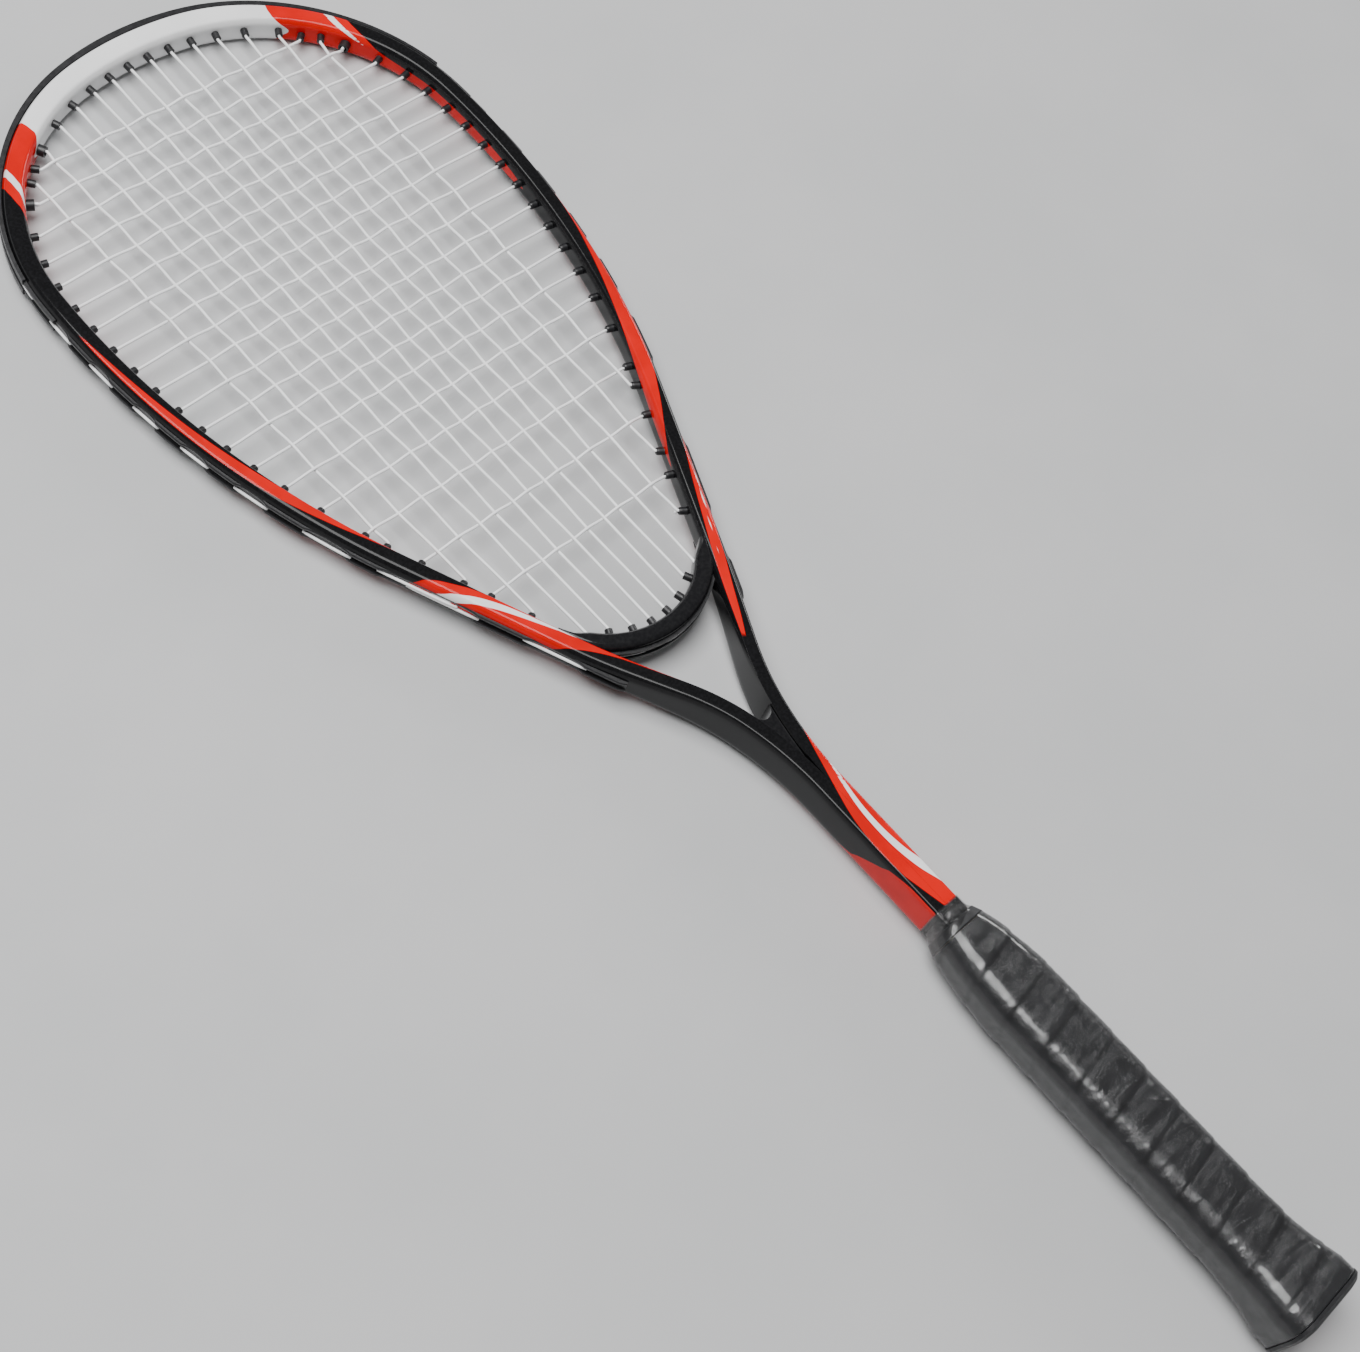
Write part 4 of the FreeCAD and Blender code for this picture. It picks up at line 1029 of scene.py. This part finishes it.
# ---------------------------------------------------------------- the handle
# Height above the butt, then half the width and half the depth of the handle there.
HANDLE_ROWS = [
    (0.0, 19.0, 16.3), (9.2, 19.0, 16.3), (13.0, 18.4, 15.7), (19.2, 17.35, 14.65), (28.0, 16.4, 13.7),
    (40.0, 16.0, 13.3), (150.0, 16.0, 13.3), (162.0, 15.2, 13.1), (174.0, 13.7, 12.7), (182.0, 12.0, 12.0),
    (186.0, 10.5, 11.3), (188.0, 8.6, 10.5), (190.4, 6.9, 9.9),
]
BAND_LOW, BAND_TOP, TAPE_TOP, FILM_TOP = 3.4, 181.8, 186.0, 190.4


def handle_half(height):
    for (low, w0, d0), (high, w1, d1) in zip(HANDLE_ROWS, HANDLE_ROWS[1:]):
        if height <= high:
            t = max(0.0, (height - low) / (high - low))
            return w0 + (w1 - w0) * t, d0 + (d1 - d0) * t
    return HANDLE_ROWS[-1][1:]


def handle_ring(height, inset):
    """Points round the handle's rounded outline at a height."""
    wide, deep = (half - inset for half in handle_half(height))
    corner = min(9.0 - inset, wide - 0.5, deep - 0.5)
    ring = []
    for quarter in range(4):
        sx, sy = ((1, 1), (-1, 1), (-1, -1), (1, -1))[quarter]
        cx, cy = sx * (wide - corner), sy * (deep - corner)
        for j in range(14):
            angle = math.pi / 2 * (quarter + j / 14)
            ring.append((cx + corner * math.cos(angle), cy + corner * math.sin(angle)))
        nx, ny = ((-1, 1), (-1, -1), (1, -1), (1, 1))[quarter]
        ex, ey = nx * (wide - corner), ny * (deep - corner)
        turn_end = math.pi / 2 * (quarter + 1)
        start = (cx + corner * math.cos(turn_end), cy + corner * math.sin(turn_end))
        stop = (ex + corner * math.cos(turn_end), ey + corner * math.sin(turn_end))
        for j in range(10):
            ring.append(tuple(start[i] + (stop[i] - start[i]) * j / 10 for i in (0, 1)))
    return ring


def wrap_rings(settings, low, high, inset, seams, creases):
    """Rings up the handle. The band's helical overlap and the film's creases lift or lower each point."""
    rings, field = [], []
    rows = int((high - low) / 0.8)
    for row in range(rows + 1):
        height = low + (high - low) * row / rows
        ring = handle_ring(height, inset)
        total = len(ring)
        placed = []
        for j, (x, z) in enumerate(ring):
            phase = (height / settings.pitch + j / total) % 1.0
            step = min(1.0, phase / 0.05) * (1 - phase) ** 0.8
            wobble = noise.noise(Vector((x * 0.05, height * 0.09, z * 0.05))) * 0.10
            crease = 0.0
            if creases:
                spot = Vector((x * 0.11, height * 0.34 + x * 0.10, z * 0.11))
                crease = noise.turbulence(spot, 3, True) * creases - creases * 0.6
            fade = min(1.0, (FILM_TOP + 0.6 - height) / 6.0)
            rise = (settings.ridge * (step - 0.9) * seams + wobble + crease) * fade
            scale = 1 + rise / max(6.0, math.hypot(x, z))
            placed.append(place(x * scale, height, z * scale))
            field.append(math.exp(-((min(phase, 1 - phase) * settings.pitch / 0.9) ** 2)))
        rings.append(placed)
    return rings, field


def looped_skin(name, outer, inner):
    """A sleeve with thickness: outer rings upwards, then inner rings downwards, joined at both ends."""
    rings = outer + inner[::-1]
    vertices = [p for ring in rings for p in ring]
    obj = new_object(name, vertices, wall_faces(len(rings), len(rings[0]), looped=True))
    fix_normals(obj)
    return obj


def build_grip(settings):
    outer, seam = wrap_rings(settings, BAND_LOW, BAND_TOP, 0.35, 1.0, 0.0)
    inner, _ = wrap_rings(settings, BAND_LOW, BAND_TOP, 1.9, 0.0, 0.0)
    band = looped_skin("grip_band_wrapped", outer, inner)
    add_field(band, "seam", seam + [0.0] * (len(band.data.vertices) - len(seam)))
    band.data.materials.append(grip_material(settings))
    hand_in(band, ["grip_band"])
    sides = [wrap_rings(settings, BAND_TOP + 0.2, TAPE_TOP, inset, 0.0, 0.0)[0] for inset in (0.3, 1.0)]
    tape = looped_skin("finishing_tape_ring", *sides)
    tape.data.materials.append(nylon_material("tape", (0.012, 0.012, 0.013, 1), (0.022, 0.022, 0.024, 1), 0.42))
    hand_in(tape, ["finishing_tape"])
    outer, _ = wrap_rings(settings, BAND_LOW, FILM_TOP, 0.0, 1.0, 0.20)
    inner, _ = wrap_rings(settings, BAND_LOW, FILM_TOP, 0.12, 1.0, 0.20)
    film = looped_skin("grip_film_creased", outer, inner)
    film.data.materials.append(film_material())
    hand_in(film, ["grip_film"])


# ---------------------------------------------------------------- the bridge
def build_bridge(material):
    """The bridge: it slims towards its ends, which run out inside both arms, and is grooved for its strip."""
    rings, reach, count, width, groove = [], math.radians(63), 70, 7.6, 1.25
    for k in range(count + 1):
        angle = reach * (2 * k / count - 1)
        deep = 6.45 - 0.5 * ease(math.degrees(angle), 20, 44)
        outside = width - 2.2 * ease(math.degrees(angle), 38, 62)
        dive = 3.4 * ease(math.degrees(angle), 44, 64)
        shape = [
            (dive, 3.2),
            (dive + 0.25, 4.3),
            (dive + 0.9, deep - 1.0),
            (dive * 0.6 + 1.9, deep - 0.15),
            (dive * 0.1 + 2.8, deep),
            (outside - 2.2 + dive * 0.1, deep),
            (outside - 1.2, deep - 0.3),
            (outside - 0.3, deep - 1.2),
            (outside, deep - 2.0),
            (outside, 3.3),
            (outside - groove, 3.3),
        ]
        shape += [(offset, -half) for offset, half in shape[::-1]]
        rings.append([place(*bridge_at(angle, offset), up) for offset, up in shape])
    bridge = skin("throat_bridge_grooved", rings)
    sharp_by_angle(bridge, 45)
    bridge.data.materials.append(material)
    hand_in(bridge, ["throat_bridge"])


# ---------------------------------------------------------------- pieces kept from the model
def dress(names, material):
    """Gives the pieces that are kept from the model a finished material."""
    for name in names:
        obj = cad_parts[name]
        if not obj.material_slots:
            obj.data.materials.append(material)
        for slot in obj.material_slots:
            slot.material = material


def dress_kept_pieces(strings):
    gloss = gloss_black_material()
    dress(["throat_insert"], gloss)
    build_bridge(gloss)
    strip = nylon_material("black_nylon", (0.008, 0.008, 0.009, 1), (0.016, 0.016, 0.018, 1), 0.32)
    dress(["tip_bumper", "grommet_strip_bridge"], strip)
    build_strips(strip)
    dress(["string_knots"], strings)
    dress(["butt_cap"], nylon_material("cap_plastic", (0.010, 0.010, 0.011, 1), (0.018, 0.018, 0.02, 1), 0.38))
    dress(["butt_badge"], nylon_material("badge", (0.30, 0.012, 0.010, 1), (0.36, 0.016, 0.012, 1), 0.25))
    dress(["grip_underlay"], nylon_material("underlay", (0.62, 0.55, 0.40, 1), (0.70, 0.63, 0.48, 1), 0.6))
    dress(["collar_tape"], film_material())
    foam = nylon_material("rigid_foam", (0.55, 0.46, 0.30, 1), (0.66, 0.57, 0.40, 1), 0.75)
    dress(["pallet_left", "pallet_right", "leg_plugs"], foam)
    steel = nylon_material("staple_wire", (0.55, 0.55, 0.56, 1), (0.66, 0.66, 0.67, 1), 0.3)
    next(n for n in steel.node_tree.nodes if n.type == "BSDF_PRINCIPLED").inputs["Metallic"].default_value = 1.0
    dress(["cap_staples"], steel)


# ---------------------------------------------------------------- stage
def area_light(name, location, target, size, power, colour=(1, 1, 1)):
    data = bpy.data.lights.new(name, "AREA")
    data.shape, data.size, data.energy, data.color = "DISK", size, power, colour
    light = link_object(name, data)
    light.location = location
    light.rotation_euler = (Vector(target) - Vector(location)).to_track_quat("-Z", "Y").to_euler()
    return light


def build_stage():
    floor = new_object("floor", [(-6, -6, 0), (6, -6, 0), (6, 6, 0), (-6, 6, 0)], [(0, 1, 2, 3)], False)
    rise, run = 9.6, 645.0
    # The racket lies on its butt and the tip of its head, so the floor rises to meet both.
    floor.rotation_euler = (math.atan2(rise, run), 0, 0)
    floor.location = (0, -0.33, -0.0006)
    m = Shader("pale_floor", Specular_IOR_Level=0.2)
    m.colour(m.patches((0.47, 0.475, 0.48, 1), (0.50, 0.50, 0.505, 1), 9.0))
    m.uneven(30.0, 4.0, 0.7, 0.85)
    floor.data.materials.append(m.material)
    world = bpy.data.worlds.new("studio")
    bpy.context.scene.world = world
    world.use_nodes = True
    background = next(n for n in world.node_tree.nodes if n.type == "BACKGROUND")
    background.inputs["Color"].default_value = (1.0, 1.0, 1.0, 1)
    background.inputs["Strength"].default_value = 0.22
    area_light("key", (-0.35, 0.45, 1.8), (0, 0, 0), 1.5, 62)
    area_light("side", (2.0, 0.3, 0.8), (0, 0, 0), 0.6, 12)
    camera_data = bpy.data.cameras.new("camera")
    camera = link_object("camera", camera_data)
    camera_data.sensor_width, camera_data.lens = 36.0, 55.657
    camera_data.clip_start, camera_data.clip_end = 0.02, 60.0
    right = Vector((0.70617529, -0.67022695, 0.22828119))
    up = Vector((0.53413929, 0.71592558, 0.44960625))
    back = Vector((-0.46477057, -0.19556687, 0.8635635))
    turn = Matrix((right, up, back)).transposed().to_4x4()
    camera.matrix_world = Matrix.Translation((-0.38255, -0.17604, 0.70666)) @ turn
    bpy.context.scene.camera = camera


# ---------------------------------------------------------------- operators and panel
class RACKET_OT_frame(bpy.types.Operator):
    """Builds the painted frame tube"""

    bl_idname, bl_label = "racket.frame", "Painted frame"

    def execute(self, context):
        build_frame_tube(context.scene.racket_frame)
        return {"FINISHED"}


class RACKET_OT_strings(bpy.types.Operator):
    """Weaves the strings and dresses the fittings that go with them"""

    bl_idname, bl_label = "racket.strings", "Woven strings"

    def execute(self, context):
        dress_kept_pieces(build_strings(context.scene.racket_strings))
        return {"FINISHED"}


class RACKET_OT_grip(bpy.types.Operator):
    """Wraps the handle and shrinks the clear film over it"""

    bl_idname, bl_label = "racket.grip", "Wrapped handle"

    def execute(self, context):
        build_grip(context.scene.racket_grip)
        return {"FINISHED"}


class RACKET_OT_stage(bpy.types.Operator):
    """Sets the floor, the lights and the camera"""

    bl_idname, bl_label = "racket.stage", "Stage"

    def execute(self, context):
        build_stage()
        return {"FINISHED"}


class RACKET_PT_panel(bpy.types.Panel):
    bl_label, bl_idname = "Racket", "RACKET_PT_panel"
    bl_space_type, bl_region_type, bl_category = "VIEW_3D", "UI", "Racket"

    def draw(self, context):
        for owner in ("racket_frame", "racket_strings", "racket_grip"):
            settings = getattr(context.scene, owner)
            for name in settings.__annotations__:
                self.layout.prop(settings, name)
        for operator in OPERATORS:
            self.layout.operator(operator.bl_idname)


OPERATORS = (RACKET_OT_frame, RACKET_OT_strings, RACKET_OT_grip, RACKET_OT_stage)
GROUPS = {
    "racket_frame": RacketFrameSettings,
    "racket_strings": RacketStringSettings,
    "racket_grip": RacketGripSettings,
}


def register():
    for name, group in GROUPS.items():
        bpy.utils.register_class(group)
        setattr(bpy.types.Scene, name, PointerProperty(type=group))
    for kind in OPERATORS + (RACKET_PT_panel,):
        bpy.utils.register_class(kind)


def unregister():
    for kind in reversed(OPERATORS + (RACKET_PT_panel,)):
        bpy.utils.unregister_class(kind)
    for name, group in GROUPS.items():
        delattr(bpy.types.Scene, name)
        bpy.utils.unregister_class(group)


def main():
    register()
    for operator in (bpy.ops.racket.frame, bpy.ops.racket.strings, bpy.ops.racket.grip, bpy.ops.racket.stage):
        if operator() != {"FINISHED"}:
            raise RuntimeError("an operator did not finish")


if __name__ == "__main__":
    main()
